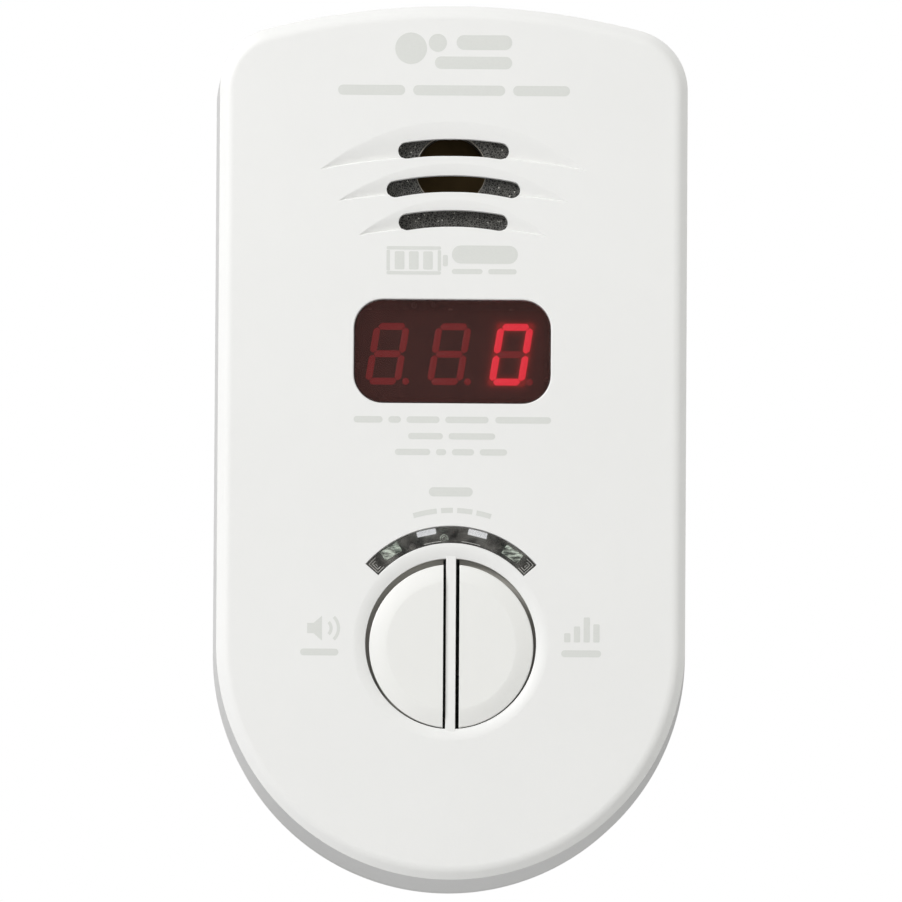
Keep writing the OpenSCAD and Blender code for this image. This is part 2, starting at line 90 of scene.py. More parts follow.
def rounded_box(x: float, z: float, w: float, h: float, r: float, grow: float = 0, n: int = 10) -> Plan:
    """A rectangle with round corners, w by h about (x, z), moved out by grow all round.

    Args:
        x: Centre, to the right.
        z: Centre, up.
        w: Width.
        h: Height.
        r: Radius of the corners.
        grow: How far the outline is moved out.
        n: Steps per corner.

    Returns:
        The outline.
    """
    a, b = w / 2 - r, h / 2 - r
    corners = ((a, b), (a, -b), (-a, -b), (-a, b))
    return [p for i, (dx, dz) in enumerate(corners)
            for p in arc(x + dx, z + dz, r + grow, 90 * i, 90 * i + 90, n)]


def ring_band(z: float, r_in: float, r_out: float, half_a: float, grow: float = 0, n: int = 48) -> Plan:
    """A band of a ring about (0, z) with radial ends, moved out by grow all round.

    Args:
        z: Centre, up.
        r_in: Inner radius.
        r_out: Outer radius.
        half_a: Half of its angle, in degrees.
        grow: How far the outline is moved out.
        n: Steps per arc.

    Returns:
        The outline.
    """
    a_out = half_a + math.degrees(grow / r_out)
    a_in = half_a + math.degrees(grow / r_in)
    return arc(0, z, r_out + grow, -a_out, a_out, n) + arc(0, z, r_in - grow, a_in, -a_in, n)


def arched_slot(half: float, z_top: float, r: float, h: float, grow: float = 0) -> Plan:
    """A slot h high that is bent to an arch of radius r, with round ends.

    Args:
        half: Half of the width.
        z_top: Height of the middle line at its highest.
        r: Radius of the middle line.
        h: Height of the slot.
        grow: How far the outline is moved out.

    Returns:
        The outline.
    """
    a = math.degrees(math.asin((half - h / 2) / r))
    z = z_top - r
    ends = arc(0, z, r, -a, a, 1)
    half_h = h / 2 + grow
    return (arc(0, z, r + half_h, -a, a, 36) + arc(*ends[1], half_h, a, a + 180, 12, 1)
            + arc(0, z, r - half_h, a, -a, 36) + arc(*ends[0], half_h, 180 - a, 360 - a, 12, 1))


def bow_height(half: float, z_tip: float, z_top: float, x: float) -> float:
    """Height at x of the arc that runs from (-half, z_tip) over (0, z_top) to (half, z_tip).

    Args:
        half: Half of the width.
        z_tip: Height of the ends.
        z_top: Height of the middle.
        x: Where it is asked for.

    Returns:
        The height.
    """
    rise = z_top - z_tip
    r = (half * half + rise * rise) / (2 * rise)
    return z_top - r + math.sqrt(r * r - x * x)


@dataclass(frozen=True)
class CaseOutline:
    """The case seen from the front: an arched top, round corners, straight sides, a round bottom.

    Attributes:
        half_width: Half of the width.
        arch_top: Height of the top of the arch.
        bottom_z: Height of the centre of the round bottom.
        arch_r: Radius of the arched top.
        corner_r: Radius of the top corners.
    """

    half_width: float
    arch_top: float
    bottom_z: float
    arch_r: float = 132.5 * MM
    corner_r: float = 11.5 * MM

    def __call__(self, grow: float) -> Plan:
        """The outline moved out by grow, or in where grow is negative.

        Args:
            grow: How far the outline is moved out.

        Returns:
            The outline.
        """
        corner_x = self.half_width - self.corner_r
        arch_z = self.arch_top - self.arch_r
        inner_r = self.arch_r - self.corner_r
        lean = math.degrees(math.asin(corner_x / inner_r))
        corner_z = arch_z + inner_r * math.cos(math.radians(lean))
        r = self.corner_r + grow
        return (arc(0, arch_z, self.arch_r + grow, -lean, lean, 48, 1)
                + arc(corner_x, corner_z, r, lean, 90, 18)
                + arc(0, self.bottom_z, self.half_width + grow, 90, 270, 120)
                + arc(-corner_x, corner_z, r, 270, 360 - lean, 18))


# ---------------------------------------------------------------------------------------------
# Shapes
# ---------------------------------------------------------------------------------------------


def rounding(radius: float, y: float, outwards: float, steps: int = 5) -> list[tuple[float, float]]:
    """Grow and depth of each ring of a rounded edge between a face and a wall behind it.

    Args:
        radius: Radius of the edge.
        y: Depth of the face.
        outwards: 1 where the wall is further out than the face, -1 where it is further in.
        steps: Number of steps.

    Returns:
        (grow, y) pairs from the face to the wall, with grow 0 on the wall.
    """
    turns = [math.pi / 2 * i / steps for i in range(steps + 1)]
    return [(-outwards * radius * (1 - math.sin(t)), y + radius * (1 - math.cos(t))) for t in turns]


class Form:
    """A mesh being shaped. Each method adds to it or works on it and returns the form."""

    def __init__(self) -> None:
        """Starts with nothing."""
        self.bm = bmesh.new()

    def loft(self, rings: Sequence[Sequence[Sequence[float]]], caps: tuple[bool, bool] = (True, True),
             closed: bool = True) -> "Form":
        """Runs a skin along rings of points.

        Args:
            rings: Rings with the same number of points each.
            caps: Whether the first and the last ring are filled.
            closed: Whether each ring joins up with its own start.

        Returns:
            The form.
        """
        bm = self.bm
        count = len(rings[0])
        last = count if closed else count - 1
        verts = [bm.verts.new(p) for p in rings[0]]
        edges = [bm.edges.new((verts[i], verts[(i + 1) % count])) for i in range(last)]
        if caps[0]:
            bmesh.ops.contextual_create(bm, geom=edges)
        for ring in rings[1:]:
            made = bmesh.ops.extrude_edge_only(bm, edges=edges)["geom"]
            fresh = {v for v in made if isinstance(v, bmesh.types.BMVert)}
            verts = [next(e.other_vert(v) for e in v.link_edges if e.other_vert(v) in fresh)
                     for v in verts]
            for vert, point in zip(verts, ring):
                vert.co = point
            edges = [bm.edges.get((verts[i], verts[(i + 1) % count])) for i in range(last)]
        if caps[1]:
            bmesh.ops.contextual_create(bm, geom=edges)
        return self

    def plates(self, outline: Outline, steps: Iterable[tuple[float, float]]) -> "Form":
        """Lofts an outline through (grow, y) steps and fills both ends."""
        return self.loft([[(x, y, z) for x, z in outline(grow)] for grow, y in steps])

    def spun(self, profile: Sequence[tuple[float, float]], x: float = 0, z: float = 0,
             steps: int = 96, closed: bool = False) -> "Form":
        """Turns a profile of (radius, y) points about the line along Y through (x, z).

        Args:
            profile: Points as (radius, y).
            x: Centre, to the right.
            z: Centre, up.
            steps: Steps per turn.
            closed: Whether the last point joins the first.

        Returns:
            The form itself.
        """
        bm = self.bm
        verts = [bm.verts.new((x + r, y, z)) for r, y in profile]
        edges = [bm.edges.new(pair) for pair in zip(verts, verts[1:])]
        if closed:
            edges.append(bm.edges.new((verts[-1], verts[0])))
        bmesh.ops.spin(bm, geom=verts + edges, cent=(x, 0, z), axis=(0, 1, 0),
                       angle=2 * math.pi, steps=steps, use_merge=True)
        bmesh.ops.remove_doubles(bm, verts=bm.verts, dist=1e-7)
        return self

    def box(self, low: Sequence[float], high: Sequence[float], edge: float = 0, segments: int = 2) -> "Form":
        """Adds a block between two corners, its edges rounded by edge.

        Args:
            low: The lowest corner.
            high: The highest corner.
            edge: Width of the rounding.
            segments: Steps per rounding.

        Returns:
            The form itself.
        """
        made = bmesh.ops.create_cube(self.bm, size=1)["verts"]
        size = [b - a for a, b in zip(low, high)]
        centre = Vector([(a + b) / 2 for a, b in zip(low, high)])
        bmesh.ops.scale(self.bm, vec=size, verts=made)
        bmesh.ops.translate(self.bm, vec=centre, verts=made)
        if edge:
            edges = list({e for v in made for e in v.link_edges})
            bmesh.ops.bevel(self.bm, geom=edges, offset=edge, segments=segments, profile=0.5,
                            affect="EDGES", material=-1)
        return self

    def bevelled(self, edges: Iterable[bmesh.types.BMEdge], width: float, segments: int = 2) -> "Form":
        """Rounds these edges.

        Args:
            edges: The edges.
            width: Width of the rounding.
            segments: Steps per rounding.

        Returns:
            The form itself.
        """
        bmesh.ops.bevel(self.bm, geom=list(edges), offset=width, segments=segments, profile=0.5,
                        affect="EDGES", material=-1, clamp_overlap=True)
        return self

    def sharp_edges(self, angle: float = 50) -> list[bmesh.types.BMEdge]:
        """The edges whose two faces meet at more than angle degrees."""
        limit = math.radians(angle)
        return [e for e in self.bm.edges if len(e.link_faces) == 2 and e.calc_face_angle() > limit]

    def placed(self, matrix: Matrix) -> "Form":
        """Moves the whole form."""
        bmesh.ops.transform(self.bm, matrix=matrix, verts=self.bm.verts)
        return self

    def take(self, other: "Form") -> "Form":
        """Adds another form's shapes and uses it up.

        Args:
            other: The form that is used up.

        Returns:
            The form itself.
        """
        mesh = bpy.data.meshes.new("taken")
        other.bm.to_mesh(mesh)
        other.bm.free()
        self.bm.from_mesh(mesh)
        bpy.data.meshes.remove(mesh)
        return self

    def piece(self, name: str, smooth_angle: float = 35) -> bpy.types.Object:
        """Ends the shaping: merges doubles, turns the faces outwards and makes the object.

        Args:
            name: The object's name.
            smooth_angle: Edges flatter than this look smooth, in degrees.

        Returns:
            The object.
        """
        bmesh.ops.remove_doubles(self.bm, verts=self.bm.verts, dist=1e-8)
        bmesh.ops.recalc_face_normals(self.bm, faces=self.bm.faces)
        mesh = bpy.data.meshes.new(name)
        self.bm.to_mesh(mesh)
        self.bm.free()
        piece = bpy.data.objects.new(name, mesh)
        bpy.context.scene.collection.objects.link(piece)
        shade(piece, smooth_angle)
        return piece


def shade(piece: bpy.types.Object, smooth_angle: float) -> None:
    """Smooth shading, broken where faces meet at more than smooth_angle degrees."""
    piece.data.shade_smooth()
    piece.data.set_sharp_from_angle(angle=math.radians(smooth_angle))


def settle(piece: bpy.types.Object) -> None:
    """Makes what a piece's modifiers do to it permanent.

    Args:
        piece: The piece.
    """
    graph = bpy.context.evaluated_depsgraph_get()
    mesh = bpy.data.meshes.new_from_object(piece.evaluated_get(graph))
    old = piece.data
    piece.modifiers.clear()
    piece.data = mesh
    bpy.data.meshes.remove(old)


class Cut(Enum):
    """What a tool does to the piece that it meets."""

    AWAY = "DIFFERENCE"
    JOIN = "UNION"


def join(pieces: Sequence[bpy.types.Object], name: str) -> bpy.types.Object:
    """Makes one piece of several.

    Args:
        pieces: The pieces.
        name: Name of the whole.

    Returns:
        The whole.
    """
    bm = bmesh.new()
    for piece in pieces:
        bm.from_mesh(piece.data)
    mesh = bpy.data.meshes.new(name)
    bm.to_mesh(mesh)
    bm.free()
    whole = bpy.data.objects.new(name, mesh)
    bpy.context.scene.collection.objects.link(whole)
    for piece in pieces:
        discard(piece)
    return whole


def discard(piece: bpy.types.Object) -> None:
    """Removes a piece that was only a step on the way.

    Args:
        piece: The piece.
    """
    mesh = piece.data
    bpy.data.objects.remove(piece)
    bpy.data.meshes.remove(mesh)


def carve(piece: bpy.types.Object, tools: Iterable[Form], cut: Cut = Cut.AWAY) -> None:
    """Works on the piece with tools that stay clear of each other, and uses them up.

    Args:
        piece: The piece that is worked on.
        tools: The tools.
        cut: What the tools do.
    """
    cutter = join([tool.piece("tool") for tool in tools], "cutter")
    modifier = piece.modifiers.new("cut", "BOOLEAN")
    modifier.operation = cut.value
    modifier.solver = "EXACT"
    modifier.object = cutter
    settle(piece)
    discard(cutter)


FLAT_STRENGTH, ROUND_STRENGTH = 16384, -16384


def firm_flats(piece: bpy.types.Object, smooth_angle: float = 35, least_area: float = 12e-6) -> None:
    """Shades rounded edges so that the flat faces beside them stay flat to the eye.

    Args:
        piece: The piece.
        smooth_angle: The angle in degrees past which an edge stays sharp.
        least_area: The area, in square metres, from which coplanar faces count as a flat.
    """
    shade(piece, smooth_angle)
    mesh = piece.data
    planes: dict[tuple[int, ...], float] = {}
    keys = []
    for face in mesh.polygons:
        n = face.normal
        key = (*(round(c * 400) for c in n), round(n.dot(face.center) * 5e4))
        keys.append(key)
        planes[key] = planes.get(key, 0) + face.area
    strength = mesh.attributes.new("__mod_weightednormals_faceweight", "INT", "FACE")
    for face, key in zip(mesh.polygons, keys):
        flat = planes[key] > least_area
        strength.data[face.index].value = FLAT_STRENGTH if flat else ROUND_STRENGTH
    modifier = piece.modifiers.new("firm flats", "WEIGHTED_NORMAL")
    modifier.keep_sharp = True
    modifier.use_face_influence = True
    modifier.weight = 50


# ---------------------------------------------------------------------------------------------
# Finishes
# ---------------------------------------------------------------------------------------------


class Wire:
    """A value in a recipe: an output socket, which the usual operators add maths nodes to."""

    def __init__(self, recipe: "Recipe", socket: bpy.types.NodeSocket) -> None:
        """Wraps one output socket."""
        self.recipe = recipe
        self.socket = socket

    def maths(self, operation: str, *others: "Wire | float", clamp: bool = False) -> "Wire":
        """Adds a Math node with this value first."""
        values = dict(enumerate((self, *others)))
        return self.recipe.add("ShaderNodeMath", {"operation": operation, "use_clamp": clamp}, values)

    def __add__(self, other: "Wire | float") -> "Wire":
        """This value plus another."""
        return self.maths("ADD", other)

    __radd__ = __add__

    def __mul__(self, other: "Wire | float") -> "Wire":
        """This value times another."""
        return self.maths("MULTIPLY", other)

    __rmul__ = __mul__

    def __sub__(self, other: "Wire | float") -> "Wire":
        """This value less another."""
        return self.maths("SUBTRACT", other)

    def __rsub__(self, other: float) -> "Wire":
        """A number less this value."""
        return self.maths("MULTIPLY_ADD", -1.0, other)

    def above(self, edge: float) -> "Wire":
        """1 where this value is above edge, else 0."""
        return self.maths("GREATER_THAN", edge)

    def within(self, low: float, high: float) -> "Wire":
        """Runs from 0 to 1 as this value goes from low to high, clamped at both ends."""
        return ((self - low) * (1 / (high - low))).maths("ADD", 0.0, clamp=True)


class Recipe:
    """The nodes of one material, built in code."""

    def __init__(self, name: str) -> None:
        """Starts an empty material.

        Args:
            name: The material's name.
        """
        self.material = bpy.data.materials.new(name)
        self.material.use_nodes = True
        self.tree = self.material.node_tree
        self.tree.nodes.clear()

    def add(self, kind: str, settings: Mapping[str, object] | None = None,
            values: Mapping[str | int, object] | None = None, output: int | str = 0) -> Wire:
        """Adds a node.

        Args:
            kind: The node's type.
            settings: Its own properties.
            values: What its inputs get, by name or number: a wire or a plain value.
            output: The output to return.

        Returns:
            A wire from that output.
        """
        node = self.tree.nodes.new(kind)
        for key, value in (settings or {}).items():
            setattr(node, key, value)
        for key, value in (values or {}).items():
            if isinstance(value, Wire):
                self.tree.links.new(value.socket, node.inputs[key])
            else:
                node.inputs[key].default_value = value
        return Wire(self, node.outputs[output]) if node.outputs else None

    def place(self, scale: Sequence[float] = (1, 1, 1), turn: Sequence[float] = (0, 0, 0),
              centre: Sequence[float] = (0, 0, 0)) -> Wire:
        """The object's own coordinates about centre, then turned and scaled.

        Args:
            scale: Scale along each axis.
            turn: Turn about each axis.
            centre: The point that becomes the origin.

        Returns:
            The coordinates.
        """
        own = self.add("ShaderNodeTexCoord", output="Object")
        moved = self.add("ShaderNodeVectorMath", {"operation": "SUBTRACT"}, {0: own, 1: centre})
        return self.add("ShaderNodeMapping", {"vector_type": "POINT"},
                        {"Vector": moved, "Rotation": turn, "Scale": scale})

    def noise(self, scale: float, detail: float = 2, where: Wire | None = None) -> Wire:
        """Smooth noise from 0 to 1, with scale blobs to the metre."""
        where = where or self.place()
        return self.add("ShaderNodeTexNoise", {}, {"Vector": where, "Scale": scale, "Detail": detail})

    def cells(self, scale: float, feature: str = "F1", where: Wire | None = None) -> Wire:
        """Distance within a field of cells, with scale cells to the metre."""
        where = where or self.place()
        return self.add("ShaderNodeTexVoronoi", {"feature": feature}, {"Vector": where, "Scale": scale})

    def axes(self, where: Wire) -> tuple[Wire, Wire, Wire]:
        """The three parts of a vector."""
        node = self.add("ShaderNodeSeparateXYZ", {}, {"Vector": where}).socket.node
        return tuple(Wire(self, out) for out in node.outputs)

    def mix(self, share: Wire | float, first: "Wire | Colour", second: "Wire | Colour") -> Wire:
        """A colour between two, second where share is 1."""
        wires = [c if isinstance(c, Wire) else (*c, 1) for c in (first, second)]
        return self.add("ShaderNodeMix", {"data_type": "RGBA"}, {0: share, 6: wires[0], 7: wires[1]}, 2)

    def bump(self, height: Wire, distance: float, strength: float = 1) -> Wire:
        """A normal from a height in metres per unit of distance."""
        return self.add("ShaderNodeBump", {},
                        {"Height": height, "Distance": distance, "Strength": strength})

    def surface(self, values: Mapping[str, object]) -> bpy.types.Material:
        """Ends the recipe with the main shader, which gets these values.

        Args:
            values: The shader's inputs by name.

        Returns:
            The material.
        """
        filled = {k: (*v, 1) if isinstance(v, tuple) and len(v) == 3 else v for k, v in values.items()}
        shader = self.add("ShaderNodeBsdfPrincipled", {}, filled)
        self.add("ShaderNodeOutputMaterial", {}, {"Surface": shader})
        return self.material


@dataclass(frozen=True)
class PaintedGapShade:
    """Painted shade on the walls of a round gap: the plastic's colour is darkened and browned there, where
    shade falls.

    Attributes:
        z: Height of its centre.
        radius: Radius within which it lies.
        y: Depth at which it begins.
        tone: How much of the plastic's colour is left there.
        reach: Depth over which the colour fades.
    """

    z: float
    radius: float
    y: float
    tone: float = 0.52
    reach: float = 0.3 * MM

    def mask(self, recipe: Recipe) -> Wire:
        """Runs from 0 outside to 1 on the walls, where the shade is painted.

        Args:
            recipe: The recipe that it is added to.

        Returns:
            The mask.
        """
        x, y, z = recipe.axes(recipe.place(centre=(0, self.y, self.z)))
        inside = 1 - (x * x + z * z).above(self.radius ** 2)
        return inside * y.within(0, self.reach)


@dataclass(frozen=True)
class MouldedPlastic:
    """Injection-moulded plastic with a fine spark-eroded grain.

    Attributes:
        name: Name of the material.
        colour: Its colour.
        roughness: Mean roughness.
        grain: Depth of the grain.
        grain_size: Size of a grain.
        mottle: How far the colour wanders.
        coat: Strength of the clear gloss on top.
        painted_gap_shade: Painted shade on the walls of a gap in the piece.
    """

    name: str
    colour: Colour
    roughness: float = 0.42
    grain: float = 0.012 * MM
    grain_size: float = 0.35 * MM
    mottle: float = 0.015
    coat: float = 0.0
    painted_gap_shade: PaintedGapShade | None = None

    def make(self) -> bpy.types.Material:
        """Builds the material.

        Returns:
            The material.
        """
        r = Recipe(self.name)
        cloud = r.noise(38, 3)
        grain = r.noise(1 / self.grain_size, 2)
        fine = r.noise(3 / self.grain_size, 1)
        darker = tuple(c * (1 - self.mottle) for c in self.colour)
        lighter = tuple(min(1, c * (1 + self.mottle)) for c in self.colour)
        height = grain * 0.7 + fine * 0.3
        colour = r.mix(cloud, darker, lighter)
        # Painted shade: the gap's walls are darkened and browned where shade falls in it.
        if self.painted_gap_shade:
            dull = tuple(c * self.painted_gap_shade.tone * dust_and_shade for c, dust_and_shade in zip(self.colour, GAP_SHADE_TINT))
            colour = r.mix(self.painted_gap_shade.mask(r), colour, dull)
        return r.surface({
            "Base Color": colour,
            "Roughness": self.roughness + (cloud - 0.5) * 0.08 + (grain - 0.5) * 0.06,
            "Specular IOR Level": 0.5,
            "Coat Weight": self.coat,
            "Coat Roughness": 0.12,
            "Normal": r.bump(height, self.grain),
        })


@dataclass(frozen=True)
class ClearPlastic:
    """Polished, tinted plastic that shows what lies behind it.

    Attributes:
        name: Name of the material.
        colour: The tint of its own body.
        solid: How much of what is behind it hides, from 0 to 1.
        cloud: How far the tint wanders.
        roughness: Roughness of the polish.
    """

    name: str
    colour: Colour
    solid: float
    cloud: float = 0.12
    roughness: float = 0.06

    def make(self) -> bpy.types.Material:
        """Builds the material.

        Returns:
            The material.
        """
        r = Recipe(self.name)
        haze = r.noise(420, 5)
        wipe = r.noise(1, 4, r.place(scale=(900, 200, 60), turn=(0, 0.35, 0)))
        low, high = (tuple(c * (1 + side * self.cloud) for c in self.colour) for side in (-1, 1))
        return r.surface({
            "Base Color": r.mix(haze.within(0.3, 0.7), low, high),
            "Roughness": self.roughness + wipe.within(0.55, 0.8) * 0.08,
            "Alpha": self.solid,
            "IOR": 1.49,
            "Coat Weight": 0.25,
            "Coat Roughness": 0.03,
            "Normal": r.bump(haze, 0.02 * MM, 0.5),
        })


@dataclass(frozen=True)
class OpenFoam:
    """Black open-cell foam: pits painted near-black as shade between thin walls, a few of which glint with a
    painted highlight.

    Attributes:
        name: Name of the material.
        pit: Colour of a pit, painted near-black as shade.
        wall: Colour of a wall between pits.
        glint: Colour of a painted highlight on a wall that glints.
        cell: Size of a cell.
    """

    name: str = "open_foam"
    pit: Colour = (0.012, 0.012, 0.011)
    wall: Colour = (0.19, 0.185, 0.17)
    glint: Colour = (0.80, 0.78, 0.72)
    cell: float = 0.42 * MM

    def make(self) -> bpy.types.Material:
        """Builds the material.

        Returns:
            The material.
        """
        r = Recipe(self.name)
        edge = r.cells(1 / self.cell, "DISTANCE_TO_EDGE")
        fine = r.noise(3.2 / self.cell, 2)
        walls = 1 - edge.within(0.02, 0.22)
        # The near-black pits are painted shade; the glints below are painted highlights.
        dark = r.mix(walls * fine.within(0.35, 0.65), self.pit, self.wall)
        sparks = r.cells(0.42 / self.cell).within(0.05, 0.2)
        return r.surface({
            "Base Color": r.mix((1 - sparks) * walls, dark, self.glint),
            "Roughness": 0.8 - walls * 0.25,
            "Normal": r.bump(edge + fine * 0.4, 0.3 * MM),
        })


@dataclass(frozen=True)
class Metal:
    """Plated or bare metal with the fine lines of rolling or turning.

    Attributes:
        name: Name of the material.
        colour: Colour of the metal.
        roughness: Mean roughness.
        lines: Lines to the metre along each axis; a low number draws the lines out that way.
        tarnish: How far the colour darkens in patches.
    """

    name: str
    colour: Colour
    roughness: float = 0.28
    lines: tuple[float, float, float] = (9000, 200, 9000)
    tarnish: float = 0.12

    def make(self) -> bpy.types.Material:
        """Builds the material.

        Returns:
            The material.
        """
        r = Recipe(self.name)
        line = r.noise(1, 3, r.place(scale=self.lines))
        patch = r.noise(160, 4)
        dull = tuple(c * (1 - self.tarnish) for c in self.colour)
        return r.surface({
            "Base Color": r.mix(patch.within(0.35, 0.7), self.colour, dull),
            "Metallic": 1.0,
            "Roughness": self.roughness + (line - 0.5) * 0.22 + patch.within(0.4, 0.8) * 0.1,
            "Normal": r.bump(line, 0.01 * MM, 0.6),
        })


@dataclass(frozen=True)
class Ink:
    """Pad-printed ink: a thin, slightly uneven film."""

    name: str
    colour: Colour
    roughness: float = 0.5

    def make(self) -> bpy.types.Material:
        """Builds the material.

        Returns:
            The material.
        """
        r = Recipe(self.name)
        film = r.noise(2600, 2)
        return r.surface({
            "Base Color": r.mix(film, self.colour, tuple(c * 1.06 for c in self.colour)),
            "Roughness": self.roughness + (film - 0.5) * 0.15,
            "Normal": r.bump(film, 0.004 * MM),
        })


@dataclass(frozen=True)
class Glow:
    """A light-diffusing piece that gives off light: the lit bars really shine, while on unlit parts the light
    is a painted glow.

    Attributes:
        name: Name of the material.
        colour: Its colour unlit.
        light: The colour of its light.
        strength: Strength of its light.
    """

    name: str
    colour: Colour
    light: Colour
    strength: float

    def make(self) -> bpy.types.Material:
        """Builds the material.

        Returns:
            The material.
        """
        r = Recipe(self.name)
        cloud = r.noise(1400, 3)
        dimmer = tuple(c * 0.82 for c in self.light)
        return r.surface({
            "Base Color": r.mix(cloud, self.colour, tuple(c * 0.9 for c in self.colour)),
            "Roughness": 0.4 + cloud * 0.1,
            "Emission Color": r.mix(cloud, dimmer, self.light),
            "Emission Strength": self.strength,
        })


@dataclass(frozen=True)
class LampFilling:
    """The clear filling of an unlit lamp: pale streaks of green and grey over a dark cup, with a painted glow
    for the light that reaches it through the lens.

    Attributes:
        name: Name of the material.
        dark: Colour between the streaks.
        pale: Colour of the streaks.
        strength: Strength of its painted glow, which stands for the light that it passes on.
    """

    name: str = "lamp_filling_painted_glow"
    dark: Colour = (0.03, 0.045, 0.035)
    pale: Colour = (0.78, 0.88, 0.76)
    strength: float = 1.05

    def make(self) -> bpy.types.Material:
        """Builds the material.

        Returns:
            The material.
        """
        r = Recipe(self.name)
        streak = r.noise(1, 3, r.place(scale=(700, 700, 2400), turn=(0, 0.9, 0))).within(0.41, 0.62)
        colour = r.mix(streak, self.dark, self.pale)
        return r.surface({
            "Base Color": colour,
            "Roughness": 0.35 + streak * 0.2,
            "Emission Color": colour,
            "Emission Strength": self.strength,
        })


@dataclass(frozen=True)
class HaloFace:
    """The display's black face, with a painted glow: its emission paints the red light of the lit bars close
    around them.

    Attributes:
        name: Name of the material.
        layer: The mesh attribute that holds the strength of the painted glow from the lit bars, from 0 to 1.
    """

    name: str = "display_face"
    layer: str = "halo"

    def make(self) -> bpy.types.Material:
        """Builds the material.

        Returns:
            The material.
        """
        r = Recipe(self.name)
        near = r.add("ShaderNodeAttribute", {"attribute_name": self.layer}, output="Fac")
        dust_and_shade = r.cells(700).within(0.0, 0.1)
        return r.surface({
            "Base Color": r.mix(dust_and_shade, (0.10, 0.08, 0.08), (0.022, 0.014, 0.014)),
            "Roughness": 0.55 + dust_and_shade * 0.1,
            # Painted glow: red emission near the lit bars and a faint red over the rest of the face.
            "Emission Color": r.mix(near, (0.012, 0.0025, 0.0025), (1.0, 0.03, 0.03)),
            "Emission Strength": 0.9,
        })


@dataclass(frozen=True)
class BoardLaminate:
    """A circuit board: dark solder resist with tracks just showing and tinned pads."""

    name: str = "board_laminate"
    colour: Colour = (0.035, 0.045, 0.042)
    track: Colour = (0.07, 0.09, 0.08)

    def make(self) -> bpy.types.Material:
        """Builds the material.

        Returns:
            The material.
        """
        r = Recipe(self.name)
        x, _, z = r.axes(r.place(scale=(620, 620, 620)))
        bend = r.noise(55, 1) * 9
        across = (x + bend).maths("FRACT").within(0.5, 0.58)
        along = (z + bend).maths("FRACT").within(0.62, 0.7)
        region = r.cells(90).above(0.5)
        tracks = across * region + along * (1 - region)
        pads = 1 - r.cells(330).within(0.18, 0.2)
        base = r.mix(tracks, self.colour, self.track)
        return r.surface({
            "Base Color": r.mix(pads, base, (0.42, 0.41, 0.38)),
            "Roughness": 0.32 + pads * 0.1,
            "Coat Weight": 0.3,
            "Coat Roughness": 0.2,
            "Normal": r.bump(tracks * 0.6 + pads, 0.03 * MM),
        })


@dataclass(frozen=True)
class PaperLabel:
    """Satin label film with a faint fibre."""

    name: str = "label_film"
    colour: Colour = (0.60, 0.61, 0.62)

    def make(self) -> bpy.types.Material:
        """Builds the material.

        Returns:
            The material.
        """
        r = Recipe(self.name)
        fibre = r.noise(1, 4, r.place(scale=(5200, 5200, 700), turn=(0, 0.5, 0)))
        return r.surface({
            "Base Color": r.mix(fibre, self.colour, tuple(c * 0.94 for c in self.colour)),
            "Roughness": 0.38 + fibre * 0.12,
            "Normal": r.bump(fibre, 0.008 * MM),
        })


FRONT_WHITE = MouldedPlastic("front_white", (0.86, 0.86, 0.85))
REAR_WHITE = MouldedPlastic("rear_white", (0.80, 0.80, 0.785), roughness=0.5, grain=0.02 * MM)
BUTTON_WHITE = MouldedPlastic("button_white", (0.86, 0.86, 0.84), roughness=0.36, grain=0.006 * MM)
HORN_BLACK = MouldedPlastic("horn_black", (0.045, 0.042, 0.036), roughness=0.5)
# Painted highlight: a lighter grey than the horn's black, for the rim of its mouth.
HORN_LIP_PAINTED_HIGHLIGHT = MouldedPlastic("horn_lip_painted_highlight", (0.22, 0.20, 0.17), roughness=0.45)
INNER_BLACK = MouldedPlastic("inner_black", (0.03, 0.03, 0.03), roughness=0.5)
CARRIER_BLACK = MouldedPlastic("carrier_black", (0.045, 0.045, 0.047), roughness=0.48, grain=0.02 * MM)
CHIP_BLACK = MouldedPlastic("chip_black", (0.02, 0.02, 0.02), roughness=0.55, mottle=0.1)
KNOB_IVORY = MouldedPlastic("knob_ivory", (0.62, 0.60, 0.54), roughness=0.4)
SLIDER_RED = MouldedPlastic("slider_red", (0.55, 0.035, 0.03), roughness=0.38, mottle=0.05)
CAP_BLUE = MouldedPlastic("cap_blue", (0.10, 0.16, 0.32), roughness=0.4)
FILM_YELLOW = MouldedPlastic("film_yellow", (0.68, 0.50, 0.07), roughness=0.3, coat=0.3)
SLEEVE_GOLD = MouldedPlastic("sleeve_gold", (0.55, 0.42, 0.10), roughness=0.25, coat=0.5)
SLEEVE_BLUE = MouldedPlastic("sleeve_blue", (0.03, 0.05, 0.13), roughness=0.25, coat=0.5)
DIPPED_BLUE = MouldedPlastic("dipped_blue", (0.05, 0.15, 0.42), roughness=0.35, coat=0.3)
DIPPED_GREEN = MouldedPlastic("dipped_green", (0.22, 0.38, 0.28), roughness=0.4)
FERRITE_GREY = MouldedPlastic("ferrite_grey", (0.05, 0.05, 0.055), roughness=0.45, mottle=0.15)
FIRED_CHIP = MouldedPlastic("fired_chip", (0.36, 0.27, 0.17), roughness=0.4, mottle=0.2)
SILVERED_CERAMIC = MouldedPlastic("silvered_ceramic", (0.66, 0.65, 0.60), roughness=0.35)
PANE_RED = ClearPlastic("pane_red", (0.062, 0.018, 0.014), solid=0.5)
LENS_SMOKE = ClearPlastic("lens_smoke", (0.23, 0.22, 0.205), solid=0.3, cloud=0.93)
